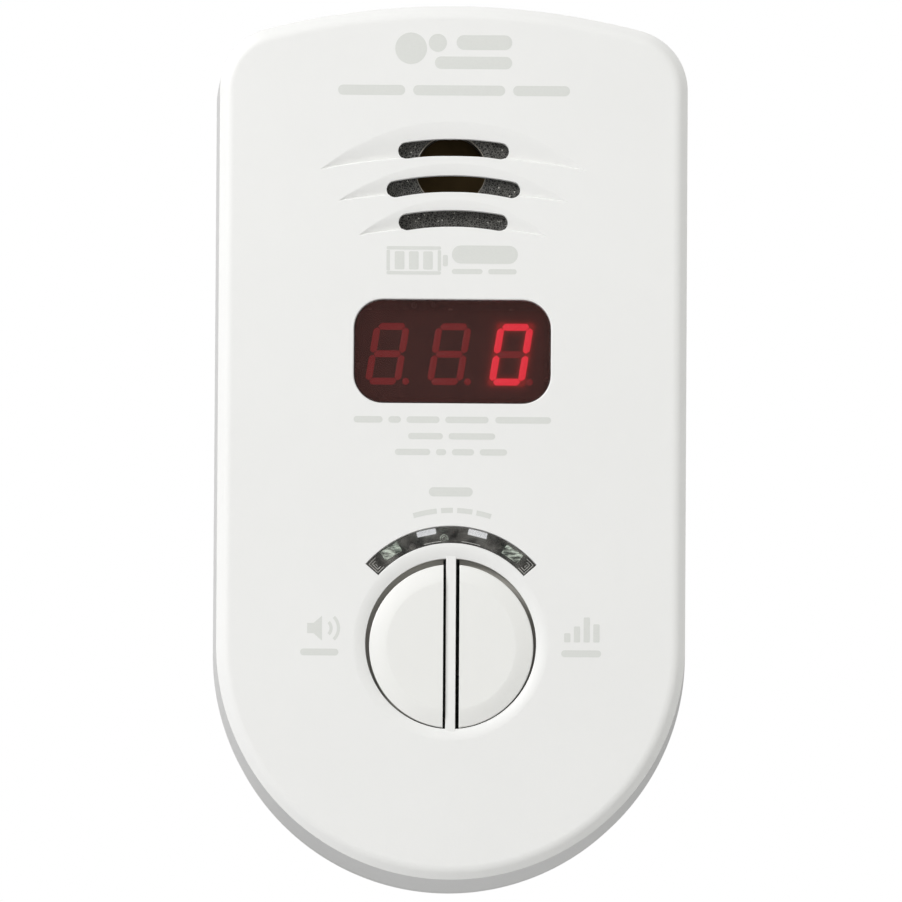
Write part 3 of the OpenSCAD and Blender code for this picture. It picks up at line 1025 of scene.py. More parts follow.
# Painted reflection: the bright lines drawn inside the lens.
LENS_PAINTED_REFLECTION = MouldedPlastic("lens_painted_reflection", (0.9, 0.9, 0.87), roughness=0.3)
FOAM_BLACK = OpenFoam()
NICKEL = Metal("nickel", (0.74, 0.70, 0.62), roughness=0.24, lines=(9000, 180, 9000))
DARK_BRASS = Metal("dark_brass", (0.11, 0.075, 0.035), roughness=0.45)
STEEL = Metal("plated_steel", (0.62, 0.62, 0.61), roughness=0.3, lines=(2200, 2200, 2200))
CAN_STEEL = Metal("can_steel", (0.58, 0.58, 0.57), roughness=0.34, lines=(200, 9000, 200))
PRINT_GREY = Ink("print_grey", (0.69, 0.70, 0.675))
LABEL_INK = Ink("label_ink", (0.06, 0.06, 0.065))
BAR_LIT = Glow("bar_lit", (0.9, 0.1, 0.1), (0.84, 0.019, 0.045), 3.2)
# Painted glow: the unlit bars give off a dim red light though they are not lit.
UNLIT_BARS_PAINTED_GLOW = Glow("unlit_bars_painted_glow", (0.20, 0.02, 0.02), (0.42, 0.02, 0.03), 1.0)
# Painted glow: the unlit lamps here and the test pad rings give off light that stands in for the light
# reaching them through the lens.
WHITE_LAMP_PAINTED_GLOW = Glow("white_lamp_painted_glow", (0.9, 0.9, 0.9), (0.95, 0.97, 1.0), 1.2)
GREEN_LAMP_PAINTED_GLOW = LampFilling()
BOARD = BoardLaminate()
LABEL_FILM = PaperLabel()
DISPLAY_FACE = HaloFace()


class Paints:
    """Makes each finish's material once and hands it out."""

    def __init__(self) -> None:
        """Starts with none made."""
        self.made: dict[str, bpy.types.Material] = {}

    def of(self, finish: object) -> bpy.types.Material:
        """The material of a finish.

        Args:
            finish: The finish.

        Returns:
            The material.
        """
        if finish.name not in self.made:
            self.made[finish.name] = finish.make()
        return self.made[finish.name]


PAINTS = Paints()


def dress(piece: bpy.types.Object, finish: object) -> None:
    """Gives the whole piece one finish.

    Args:
        piece: The piece.
        finish: The finish.
    """
    material = PAINTS.of(finish)
    if piece.material_slots:
        for material_slot in piece.material_slots:
            material_slot.material = material
    else:
        piece.data.materials.append(material)


def fit(piece: bpy.types.Object, finish: object | None, body: str,
        replaced: Sequence[str] = ()) -> bpy.types.Object:
    """Finishes a new piece: its material, its body and the nodes that it stands for.

    Args:
        piece: The piece.
        finish: The finish, or None where it has one already.
        body: The body that it rides on.
        replaced: The nodes that it stands for.

    Returns:
        The piece.
    """
    if finish is not None:
        dress(piece, finish)
    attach(piece, body)
    if replaced:
        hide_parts(*replaced)
    LOG.info("%s: %d faces, on %s", piece.name, len(piece.data.polygons), body)
    return piece


def corners(node: str) -> tuple[Vector, Vector]:
    """The low and the high corner of a CAD node's box."""
    low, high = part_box(node)
    return Vector(low), Vector(high)


def middle(node: str) -> Vector:
    """The centre of a node's box at rest."""
    low, high = corners(node)
    return (low + high) / 2


# ---------------------------------------------------------------------------------------------
# The case
# ---------------------------------------------------------------------------------------------


# How far the centres of the button opening and of the lens sit above the button's own.
HOLE_RISE = 0.45 * MM
LENS_RISE = 1.15 * MM


@dataclass(frozen=True)
class Vent:
    """One louvred sound slot and the scoop above it.

    Attributes:
        half: Half of the scoop's width.
        tip_z: Height of the scoop's two tips.
        top_z: Height of the top of the scoop.
        ridge_z: Height of the top of the ridge that ends the scoop.
        slot_half: Half of the slot's length.
        slot_z: Height of the middle of the slot.
        slot_r: Radius of the slot's arch.
    """

    half: float
    tip_z: float
    top_z: float
    ridge_z: float
    slot_half: float
    slot_z: float
    slot_r: float

    def scaled(self) -> "Vent":
        """The same with millimetres turned to metres."""
        return Vent(*(v * MM for v in (self.half, self.tip_z, self.top_z, self.ridge_z,
                                       self.slot_half, self.slot_z, self.slot_r)))


VENTS = tuple(Vent(*sizes).scaled() for sizes in (
    (23.5, 29.75, 38.85, 32.2, 9.75, 33.9, 54),
    (20.3, 24.2, 31.3, 25.85, 11.75, 27.45, 51),
    (16.7, 18.1, 24.9, 19.75, 9.6, 21.3, 48)))


@dataclass
class FrontCover:
    """The white front shell with its louvres, openings and the rib between the buttons.

    Attributes:
        outline: The case's outline at the seam.
        wall: Thickness of the walls.
        edge: Width of the softened front edge, which ends in a crease.
        edge_r: Radius of its round part.
        edge_turn: How far that turns from the face, in degrees; a slope runs on to the crease.
        draft: How far the sides open out from the crease to the seam.
        slot_h: Height of a sound slot.
        scoop: Depth of a scoop where it meets its ridge.
        ridge_r: Rounding of a ridge.
        window: Width, height and corner radius of the display window.
        lens: Inner radius, outer radius and half angle of the lens opening.
        hole_r: Radius of the button opening.
        dish_r: Radius of the dish around the button opening.
        dish_d: Depth of the dish.
        rib_w: Width of the rib.
    """

    outline: CaseOutline
    wall: float = 2.2 * MM
    edge: float = 2.5 * MM
    edge_r: float = 3.0 * MM
    edge_turn: float = 30.0
    draft: float = 0.6 * MM
    slot_h: float = 3.0 * MM
    scoop: float = 1.25 * MM
    ridge_r: float = 0.3 * MM
    window: tuple[float, float, float] = (34.6 * MM, 18.3 * MM, 5.1 * MM)
    lens: tuple[float, float, float] = (17.0 * MM, 20.0 * MM, 48.6)
    hole_r: float = 15.0 * MM
    dish_r: float = 17.4 * MM
    dish_d: float = 0.45 * MM
    rib_w: float = 1.75 * MM

    def __post_init__(self) -> None:
        """Works out the planes and centres from the frame."""
        low, high = corners("front_cover")
        self.front_y = low.y
        self.inner_y = low.y + self.wall
        self.seam_y = high.y
        self.window_z = middle("display_window").z
        self.button_z = middle("test_hush_button").z
        self.hole_z = self.button_z + HOLE_RISE
        self.lens_z = self.button_z + LENS_RISE

    def shell(self) -> bpy.types.Object:
        """The plain shell: a rounded front edge, drafted sides and an open back.

        Returns:
            The shell.
        """
        lip = 0.2 * MM
        inside = 1.0 * MM
        r = self.edge_r
        turns = [math.radians(self.edge_turn * i / 8) for i in range(9)]
        steps = [(r * math.sin(t) - self.edge - self.draft, self.front_y + r * (1 - math.cos(t)))
                 for t in turns]
        slope = (self.edge - r * math.sin(turns[-1])) * math.tan(turns[-1])
        steps += [(-self.draft, steps[-1][1] + slope),
                  (-self.draft / 2, (self.front_y + self.seam_y) / 2), (0, self.seam_y - lip),
                  (-lip, self.seam_y), (-self.wall, self.seam_y),
                  (-self.wall, self.inner_y + inside), (-self.wall - inside, self.inner_y)]
        return Form().plates(self.outline, steps).piece("front_cover_shell")

    def scoop_tool(self, vent: Vent) -> Form:
        """A tool whose floor slopes in from the scoop's upper arc and ends at the ridge.

        Args:
            vent: The vent that the scoop leads to.

        Returns:
            The tool.
        """
        columns, floor_rows, ridge_rows = 72, 12, 5
        hollow, fade = 1.55, 0.75
        lift = 0.02 * MM
        profile = [(i / floor_rows, (i / floor_rows) ** hollow) for i in range(floor_rows + 1)]
        form = Form()
        rows = len(profile) + ridge_rows
        bmesh.ops.create_grid(form.bm, x_segments=columns, y_segments=rows - 1, size=1)
        reach = vent.half * 0.992
        full = vent.top_z - vent.ridge_z
        for vert in form.bm.verts:
            column = vert.co.x
            row = round((1 - vert.co.y) / 2 * (rows - 1))
            x = reach * math.sin(math.pi / 2 * column)
            top = bow_height(vent.half, vent.tip_z, vent.top_z, x)
            ridge = bow_height(vent.half, vent.tip_z, vent.ridge_z, x)
            height = top - ridge
            depth = self.scoop * min(1.0, height / full) ** fade
            radius = min(self.ridge_r, depth * 0.8)
            if row < len(profile):
                share, fall = profile[row]
                z = top - share * (height - radius * 0.5)
                y = self.front_y - lift + (depth + lift) * fall
            else:
                turn = math.pi / 2 * (row - len(profile)) / (ridge_rows - 1)
                z = ridge + radius * 0.5 - radius * 0.5 * (0.2 + 0.8 * (1 - math.cos(turn)))
                z -= radius * 0.6 * (1 - math.cos(turn))
                y = self.front_y + radius * (1 - math.sin(turn)) - lift * (turn > 1.5)
            vert.co = (x, y, z)
        faces = list(form.bm.faces)
        made = bmesh.ops.extrude_face_region(form.bm, geom=faces)["geom"]
        for vert in made:
            if isinstance(vert, bmesh.types.BMVert):
                vert.co.y = self.front_y - 2 * MM
        return form

    def openings(self) -> list[Form]:
        """A tool for each slot and for the window's and the lens's opening.

        Returns:
            The tools.
        """
        y0, y1 = self.front_y - 1.0 * MM, self.inner_y + 1.0 * MM
        w, h, r = self.window
        r_in, r_out, half_a = self.lens
        tools = [Form().plates(
            lambda grow, v=vent: arched_slot(v.slot_half, v.slot_z, v.slot_r, self.slot_h, grow),
            [(0, y0), (0, y1)]) for vent in VENTS]
        soft = rounding(0.28 * MM, self.front_y, -1)
        tools.append(Form().plates(
            lambda grow: rounded_box(0, self.window_z, w, h, r, grow),
            [(soft[0][0] + 0.05 * MM, y0), *soft, (0, y1)]))
        soft = rounding(0.15 * MM, self.front_y, -1, 3)
        tools.append(Form().plates(
            lambda grow: ring_band(self.lens_z, r_in, r_out, half_a, grow),
            [(soft[0][0] + 0.02 * MM, y0), *soft, (0, y1)]))
        return tools

    def dish_tool(self) -> Form:
        """The tool for the button opening and the dish that rolls over into it.

        Returns:
            The tool.
        """
        y0, y1 = self.front_y - 1.0 * MM, self.inner_y + 1.0 * MM
        steps, hollow = 14, 1.8
        lift = 0.01 * MM
        soft = 0.15 * MM
        width = self.dish_r - self.hole_r - soft
        slope = [(self.dish_r - width * i / steps,
                  self.front_y - lift + (self.dish_d + lift) * (i / steps) ** hollow)
                 for i in range(steps + 1)]
        floor_y = self.front_y + self.dish_d
        corner = [(self.hole_r - grow, y) for grow, y in rounding(soft, floor_y, 1, 4)[1:]]
        profile = [(0, y0), (self.dish_r + 0.1 * MM, y0), *slope, *corner, (self.hole_r, y1), (0, y1)]
        return Form().spun(profile, z=self.hole_z, steps=144)

    def rib(self) -> Form:
        """The rib across the button opening.

        Returns:
            The rib.
        """
        reach = self.hole_r + 0.6 * MM
        return Form().box((-self.rib_w / 2, self.front_y + 0.35 * MM, self.hole_z - reach),
                          (self.rib_w / 2, self.inner_y + 2 * MM, self.hole_z + reach), 0.15 * MM)

    def bosses(self) -> list[Form]:
        """The screw bosses and the collar that guides the buttons.

        Returns:
            The bosses and the collar.
        """
        made = []
        pilot, outer = 1.46 * MM, 3.75 * MM
        depth = self.inner_y + 10 * MM
        y0, y1 = self.inner_y - 0.5 * MM, self.seam_y - 0.1 * MM
        for x, z in CASE_SCREWS:
            made.append(Form().spun([(0, y0), (outer, y0), (outer, y1), (pilot, y1), (pilot, depth),
                                     (0, depth)], x, z, 32))
        inner, outer = 16.2 * MM, 17.0 * MM
        made.append(Form().spun([(inner, y0), (outer, y0), (outer, self.inner_y + 4 * MM),
                                 (inner, self.inner_y + 4 * MM)], z=self.button_z, closed=True))
        return made

    def build(self) -> None:
        """Builds and dresses the front cover."""
        cover = self.shell()
        carve(cover, self.bosses(), Cut.JOIN)
        carve(cover, [self.scoop_tool(vent) for vent in VENTS])
        carve(cover, self.openings())
        carve(cover, [self.dish_tool()])
        carve(cover, [self.rib()], Cut.JOIN)
        firm_flats(cover, 32)
        # Painted shade on the walls of the button opening, where shade falls in the gap round the button.
        gap = PaintedGapShade(self.hole_z, self.hole_r + 0.2 * MM, self.front_y + self.dish_d + 0.25 * MM)
        fit(cover, replace(FRONT_WHITE, painted_gap_shade=gap), "case", ["front_cover"])


CASE_SCREWS = tuple((side * x * MM, z * MM) for x, z in ((29, 42), (26, -75)) for side in (1, -1))


@dataclass
class RearCover:
    """The rear shell, which meets the wall plate.

    Attributes:
        outline: The case's outline at the seam.
        wall: Thickness of the walls.
        step: How far the rear cover stands back from the front cover at the seam.
        edge: Radius of the rear edge.
    """

    outline: CaseOutline
    wall: float = 2.2 * MM
    step: float = 0.4 * MM
    edge: float = 1.6 * MM

    def __post_init__(self) -> None:
        """Works out the planes from the frame."""
        self.seam_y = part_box("front_cover")[1][1]
        self.tongue_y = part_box("rear_cover")[0][1]
        self.rear_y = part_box("rear_cover")[1][1]

    def shell(self) -> bpy.types.Object:
        """The plain shell, from the inside floor over the tongue to the rear face.

        Returns:
            The shell.
        """
        inner_y = self.rear_y - self.wall
        tongue, tongue_t, lip = self.wall + 0.1 * MM, 1.2 * MM, 0.15 * MM
        steps = [(-tongue - tongue_t - 1 * MM, inner_y), (-tongue - tongue_t, inner_y - 1 * MM),
                 (-tongue - tongue_t, self.tongue_y), (-tongue, self.tongue_y), (-tongue, self.seam_y),
                 (-self.step - lip, self.seam_y), (-self.step, self.seam_y + lip)]
        turns = [math.pi / 2 * i / 8 for i in range(9)]
        steps += [(-self.step - self.edge * (1 - math.cos(t)), self.rear_y - self.edge * (1 - math.sin(t)))
                  for t in turns]
        return Form().plates(self.outline, steps).piece("rear_cover_shell")

    def screw_well(self, x: float, z: float) -> tuple[Form, Form]:
        """The tube that a case screw sits in, and the tool that bores it.

        Args:
            x: Centre, to the right.
            z: Centre, up.

        Returns:
            The tube and the tool.
        """
        outer, head, shank = 4.5 * MM, 3.2 * MM, 1.65 * MM
        seat_y, soft = -8 * MM, 0.3 * MM
        y0, y1 = self.seam_y, self.rear_y - self.wall + 0.5 * MM
        tube = Form().spun([(0, y0), (outer, y0), (outer, y1), (0, y1)], x, z, 48)
        bore = Form().spun([(0, y0 - 1 * MM), (shank, y0 - 1 * MM), (shank, seat_y), (head, seat_y),
                            (head, self.rear_y - soft), (head + soft * 0.3, self.rear_y - soft * 0.3),
                            (head + soft, self.rear_y + 0.01 * MM), (head + soft, self.rear_y + 1 * MM),
                            (0, self.rear_y + 1 * MM)], x, z, 48)
        return tube, bore

    def build(self) -> None:
        """Builds and dresses the rear cover."""
        cover = self.shell()
        wells = [self.screw_well(x, z) for x, z in CASE_SCREWS]
        carve(cover, [tube for tube, _ in wells], Cut.JOIN)
        y0, y1 = self.rear_y - self.wall - 1 * MM, self.rear_y + 1 * MM
        low, high = corners("rating_label")
        at, size = (low + high) / 2, high - low
        spare = 0.6 * MM
        slider = middle("deactivate_slider")
        tools = [bore for _, bore in wells] + [
            Form().plates(lambda g: rounded_box(at.x, at.z, size.x + spare, size.z + spare, 2 * MM, g),
                          [(0, self.rear_y - 0.3 * MM), (0, y1)]),
            Form().plates(lambda g: rounded_box(0, 0, 24 * MM, 14 * MM, 1 * MM, g), [(0, y0), (0, y1)]),
            Form().plates(lambda g: rounded_box(slider.x + 2 * MM, slider.z, 8.4 * MM, 3.4 * MM, 0.5 * MM, g),
                          [(0, y0), (0, self.rear_y - 0.5 * MM), (0.6 * MM, self.rear_y + 0.1 * MM),
                           (0.6 * MM, y1)])]
        carve(cover, tools)
        firm_flats(cover, 32)
        fit(cover, REAR_WHITE, "case", ["rear_cover"])


@dataclass
class Screws:
    """The case's pan-head screws, deep in their wells."""

    head_r: float = 2.8 * MM
    head_h: float = 2.0 * MM
    shank_r: float = 1.45 * MM
    length: float = 15 * MM
    seat_y: float = -8 * MM

    def screw(self, x: float, z: float) -> Form:
        """One screw: a domed head on a threaded shank.

        Args:
            x: Centre, to the right.
            z: Centre, up.

        Returns:
            The screw.
        """
        y = self.seat_y
        dome = [(self.head_r * math.cos(t), y + self.head_h * (0.35 + 0.65 * math.sin(t)))
                for t in (math.pi / 2 * k / 8 for k in range(9))]
        pitch, crest = 0.9 * MM, 0.2 * MM
        turns = int((self.length - 2.5 * MM) / pitch)
        thread = []
        for k in range(turns):
            start = y - self.length + 2 * MM + k * pitch
            thread += [(self.shank_r - crest, start), (self.shank_r, start + pitch / 2)]
        return Form().spun([(0, y - self.length), (0.4 * MM, y - self.length), *thread,
                            (self.shank_r - crest, y), (self.head_r, y), *dome], x, z, 40)

    def cross(self, x: float, z: float) -> Form:
        """The tool for the cross recess, which narrows towards its floor.

        Args:
            x: Centre, to the right.
            z: Centre, up.

        Returns:
            The tool.
        """
        top = self.seat_y + self.head_h
        arm, half = 1.7 * MM, 0.4 * MM

        def plan(grow: float) -> Plan:
            """A plus sign moved out by grow.

            Args:
                grow: How far the outline is moved out.

            Returns:
                The outline.
            """
            a, b = arm + grow, half + grow
            return [(x + p, z + q) for p, q in (
                (-a, -b), (-a, b), (-b, b), (-b, a), (b, a), (b, b),
                (a, b), (a, -b), (b, -b), (b, -a), (-b, -a), (-b, -b))]

        return Form().plates(plan, [(-0.25 * MM, top - 1.2 * MM), (0, top + 0.5 * MM)])

    def build(self) -> None:
        """Builds and dresses the screws as one group."""
        made = []
        for x, z in CASE_SCREWS:
            screw = self.screw(x, z).piece("case_screw")
            carve(screw, [self.cross(x, z)])
            made.append(screw)
        group = join(made, "case_screw_set")
        shade(group, 40)
        fit(group, STEEL, "case", ["case_screws"])


# ---------------------------------------------------------------------------------------------
# The display
# ---------------------------------------------------------------------------------------------


@dataclass
class Display:
    """The dark red pane and the three-digit display behind it.

    Attributes:
        digit_w: Width of a digit.
        digit_h: Height of a digit.
        pitch: Distance from one digit to the next.
        lean: Lean of the digits, in degrees.
        bar_w: Width of a bar.
        gap: Half of the gap between two bars.
        shift: How far the digits sit from the middle of the module.
    """

    digit_w: float = 6.3 * MM
    digit_h: float = 10.9 * MM
    pitch: float = 10.9 * MM
    lean: float = 9.0
    bar_w: float = 1.2 * MM
    gap: float = 0.16 * MM
    shift: float = -0.5 * MM

    def __post_init__(self) -> None:
        """Works out the places from the frame."""
        self.low, self.high = corners("display_module")
        self.face_y = self.low.y
        self.z = middle("display_module").z
        x, z = (self.digit_w - self.bar_w) / 2, (self.digit_h - self.bar_w) / 2
        self.bars = ((False, 0, z), (True, x, z / 2), (True, x, -z / 2), (False, 0, -z),
                     (True, -x, -z / 2), (True, -x, z / 2), (False, 0, 0))
        self.half_x, self.half_z = x, z / 2

    def slanted(self, x: float, z: float, column: int) -> tuple[float, float]:
        """A point of a digit's drawing, leant over and put in its column."""
        return (x + z * math.tan(math.radians(self.lean)) + column * self.pitch + self.shift, z + self.z)

    def bar_plan(self, bar: tuple[bool, float, float], column: int) -> Outline:
        """The outline of one bar: a long hexagon with softened corners.

        Args:
            bar: Whether it stands upright, then its centre.
            column: The digit that it belongs to.

        Returns:
            The outline.
        """
        upright, cx, cz = bar
        length = (self.half_z if upright else self.half_x) - self.gap
        w = self.bar_w / 2

        def plan(grow: float) -> Plan:
            """The bar moved out by grow.

            Args:
                grow: How far the outline is moved out.

            Returns:
                The outline.
            """
            a, b = length + grow, w + grow
            k = 0.18 * MM
            tip, neck, shoulder = a - k * 0.3, a - b + k, b - k * 0.2
            drawn = [(-tip, -k * 0.5), (-tip, k * 0.5), (-neck, shoulder), (2 * k - neck, b),
                     (neck - 2 * k, b), (neck, shoulder), (tip, k * 0.5), (tip, -k * 0.5),
                     (neck, -shoulder), (neck - 2 * k, -b), (2 * k - neck, -b), (-neck, -shoulder)]
            turned = [(q, p) for p, q in reversed(drawn)] if upright else drawn
            return [self.slanted(cx + p, cz + q, column) for p, q in turned]

        return plan

    def stand_out(self, plan: Outline, form: Form) -> None:
        """Adds a shape to a form, standing a little out of the module's face."""
        y = self.face_y
        form.plates(plan, [(-0.06 * MM, y - 0.15 * MM), (0, y - 0.1 * MM), (0, y)])

    def dot(self, column: int, form: Form) -> None:
        """Adds a digit's point.

        Args:
            column: The digit.
            form: The form that it is added to.
        """
        x = column * self.pitch + self.shift + self.digit_w / 2 + 0.1 * MM
        z = self.z - 2 * self.half_z
        self.stand_out(lambda grow: arc(x, z, 0.6 * MM + grow, 0, 350, 35), form)

    def near_lit(self, x: float, z: float) -> float:
        """How strongly the painted glow of the lit bars colours the module's face at a point, from 0 to 1.

        Args:
            x: The point, to the right.
            z: The point, up.

        Returns:
            The strength.
        """
        nearest = 1.0
        for upright, cx, cz in self.bars[:6]:
            half = self.half_z if upright else self.half_x
            ends = [(cx, cz - half), (cx, cz + half)] if upright else [(cx - half, cz), (cx + half, cz)]
            a, b = (Vector(self.slanted(*end, 1)) for end in ends)
            run = b - a
            share = max(0.0, min(1.0, (Vector((x, z)) - a).dot(run) / run.length_squared))
            nearest = min(nearest, (Vector((x, z)) - a - run * share).length)
        away = max(0.0, nearest - self.bar_w / 2)
        return 0.55 * math.exp(-away / (0.26 * MM)) + 0.12 * math.exp(-away / (0.9 * MM))

    def module(self) -> bpy.types.Object:
        """The module: a block whose face is fine enough to hold the painted glow of the lit bars.

        Returns:
            The module.
        """
        form = Form().box(self.low, self.high)
        front = [f for f in form.bm.faces if f.normal.y < -0.9]
        edges = [e for f in front for e in f.edges]
        bmesh.ops.subdivide_edges(form.bm, edges=edges, cuts=95, use_grid_fill=True)
        piece = form.piece("display_block")
        layer = piece.data.attributes.new("halo", "FLOAT", "POINT")
        for vert in piece.data.vertices:
            on_face = vert.co.y < self.face_y + 0.1 * MM
            layer.data[vert.index].value = self.near_lit(vert.co.x, vert.co.z) if on_face else 0.0
        return piece

    def build(self) -> None:
        """Builds and dresses the display and its pane."""
        low, high = corners("display_window")
        z = middle("display_window").z
        w, h, r = 34.3 * MM, 18.0 * MM, 4.95 * MM
        rim, wall_y = 1.8 * MM, low.y + 1.9 * MM
        soft = rounding(0.15 * MM, low.y, 1, 3)
        pane = Form().plates(lambda g: rounded_box(0, z, w, h, r, g),
                             [*soft, (0, wall_y), (rim, wall_y), (rim, high.y)]).piece("window_pane")
        firm_flats(pane, 40)
        fit(pane, PANE_RED, "case", ["display_window"])
        fit(self.module(), DISPLAY_FACE, "case", ["display_module"])
        lit, dark = Form(), Form()
        for column in (-1, 0, 1):
            for index, bar in enumerate(self.bars):
                self.stand_out(self.bar_plan(bar, column), lit if column == 1 and index < 6 else dark)
            self.dot(column, dark)
        fit(lit.piece("lit_bars", 60), BAR_LIT, "case", ["lit_segments"])
        # The unlit bars and the points get a painted glow.
        fit(dark.piece("dark_bars", 60), UNLIT_BARS_PAINTED_GLOW, "case", ["unlit_segments"])


# ---------------------------------------------------------------------------------------------
# Lens, lamps and horn
# ---------------------------------------------------------------------------------------------


@dataclass
class StatusLamps:
    """The arched lens with its light guide, and the lamp packages on the board behind it.

    Attributes:
        lens: Inner radius, outer radius and half angle of the lens.
        white: Radius and bearing of each of the two white lamps about the lens's centre.
        green: The same for the two lamps with a greenish filling.
    """

    lens: tuple[float, float, float] = (17.1 * MM, 19.9 * MM, 48.3)
    white: tuple[tuple[float, float], ...] = ((20.4 * MM, -12.1), (20.4 * MM, 13.7))
    green: tuple[tuple[float, float], ...] = ((19.5 * MM, -32.3), (19.5 * MM, 34.0))

    def __post_init__(self) -> None:
        """Works out the places from the frame."""
        self.z = middle("test_hush_button").z + LENS_RISE
        self.board_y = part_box("main_board")[0][1]

    def lamp(self, r: float, bearing: float, h: float, form: Form) -> None:
        """Adds a lamp package h high that lies along the arch.

        Args:
            r: Distance from the arch's centre.
            bearing: Degrees clockwise from straight up.
            h: Height.
            form: The form that it is added to.
        """
        w, d = 3.4 * MM, 1.1 * MM
        single = Form().box((-w / 2, -d, -h / 2), (w / 2, 0, h / 2), 0.1 * MM)
        turn = math.radians(bearing)
        at = Vector((r * math.sin(turn), self.board_y, self.z + r * math.cos(turn)))
        form.take(single.placed(Matrix.Translation(at) @ Matrix.Rotation(turn, 4, "Y")))

    def painted_reflections(self, y: float) -> None:
        """Builds and dresses painted reflections: thin bright lines inside the lens that stand in for the
        light its own walls reflect.

        Args:
            y: Where the lines lie along Y.
        """
        r_in, r_out, half_a = self.lens
        form = Form()
        line = 0.09 * MM
        for side in (-1, 1):
            for k in range(3):
                inset, reach = (0.28 + 0.42 * k) * MM, 5.6 - 1.1 * k

                def bent(extra: float) -> Plan:
                    """One arm along the outer wall, the end, and one arm along the inner wall."""
                    r0, r1 = r_in + inset + extra, r_out - inset - extra
                    end = half_a - math.degrees((inset + extra) / r_out)
                    start = half_a - reach
                    return (arc(0, self.z, r1, side * start, side * end, 6)
                            + arc(0, self.z, r0, side * end, side * start, 6))

                outer, inner = bent(0), bent(line)
                form.loft([[(x, y + d, z) for x, z in outer + inner[::-1]] for d in (0, line)])
        # Two more painted reflections just inside the inner edge.
        for t0, t1 in ((-16.0, -6.0), (6.0, 17.0)):
            r = r_in + 0.3 * MM
            plan = arc(0, self.z, r + line, t0, t1, 10) + arc(0, self.z, r, t1, t0, 10)
            form.loft([[(x, y + d, z) for x, z in plan] for d in (0, line)])
        fit(form.piece("lens_painted_reflections", 60), LENS_PAINTED_REFLECTION, "case")

    def build(self) -> None:
        """Builds and dresses the lens and the lamps."""
        low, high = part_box("status_lens")
        r_in, r_out, half_a = self.lens
        wall_y, rim = low[1] + 1.9 * MM, 0.5 * MM
        soft = rounding(0.2 * MM, low[1], 1, 3)
        rim_y = wall_y + 1 * MM
        guide = [*soft, (0, wall_y), (rim, wall_y), (rim, rim_y), (0, rim_y), (0, high[1])]
        lens = Form().plates(lambda g: ring_band(self.z, r_in, r_out, half_a, g), guide).piece("lens_guide")
        firm_flats(lens, 40, 3e-6)
        fit(lens, LENS_SMOKE, "case", ["status_lens"])
        white, green = Form(), Form()
        for r, bearing in self.white:
            self.lamp(r, bearing, 1.2 * MM, white)
        for r, bearing in self.green:
            self.lamp(r, bearing, 1.7 * MM, green)
        self.painted_reflections(low[1] + 0.9 * MM)
        x, z, depth = -1.1 * MM, self.z + 18.9 * MM, 0.1 * MM
        rings = Form()
        for r in (0.28 * MM, 0.6 * MM):
            rings.spun([(r, self.board_y - depth), (r + 0.13 * MM, self.board_y - depth),
                        (r + 0.13 * MM, self.board_y), (r, self.board_y)], x, z, 32, True)
        # The rings and the lamps below give off a painted glow, standing in for the light that reaches them
        # through the lens.
        fit(rings.piece("test_pad_rings"), GREEN_LAMP_PAINTED_GLOW, "case")
        fit(white.piece("white_lamps"), WHITE_LAMP_PAINTED_GLOW, "case", ["status_leds"])
        fit(green.piece("green_lamps"), GREEN_LAMP_PAINTED_GLOW, "case", ["status_leds"])


@dataclass
class Horn:
    """The foam behind the slots and the horn chamber whose mouth shows through it."""

    mouth_r: float = 6.1 * MM

    def lip(self, x: float, z: float, y: float) -> None:
        """Builds and dresses the thin lip of the horn's mouth, which stands out of the foam; its grey is a
        painted highlight on the rim.

        Args:
            x: Centre, to the right.
            z: Centre, up.
            y: Where the lip starts along Y.
        """
        r, t = self.mouth_r, 0.16 * MM
        ring = Form().spun([(r, y), (r + 0.05 * MM, y - 0.05 * MM), (r + t, y), (r + t, y + 0.8 * MM),
                            (r, y + 0.8 * MM)], x, z, 72, True).piece("horn_lip")
        fit(ring, HORN_LIP_PAINTED_HIGHLIGHT, "case")

    def build(self) -> None:
        """Builds and dresses the foam; the chamber and the disc keep their own shapes."""
        low, high = corners("vent_foam")
        at, size = (low + high) / 2, high - low
        foam = Form().plates(lambda g: rounded_box(at.x, at.z, size.x, size.z, 2 * MM, g),
                             [(0, low.y), (0, high.y)]).piece("foam_pad")
        hole = middle("horn_chamber")
        carve(foam, [Form().spun([(0, low.y - 1 * MM), (self.mouth_r + 0.2 * MM, low.y - 1 * MM),
                                  (self.mouth_r + 0.2 * MM, high.y + 1 * MM), (0, high.y + 1 * MM)],
                                 hole.x, hole.z)])
        shade(foam, 40)
        fit(foam, FOAM_BLACK, "case", ["vent_foam"])
        self.lip(hole.x, hole.z, low.y + 0.02 * MM)


# ---------------------------------------------------------------------------------------------
# Buttons
# ---------------------------------------------------------------------------------------------


class Side(Enum):
    """Which half of the split button."""

    LEFT = -1
    RIGHT = 1


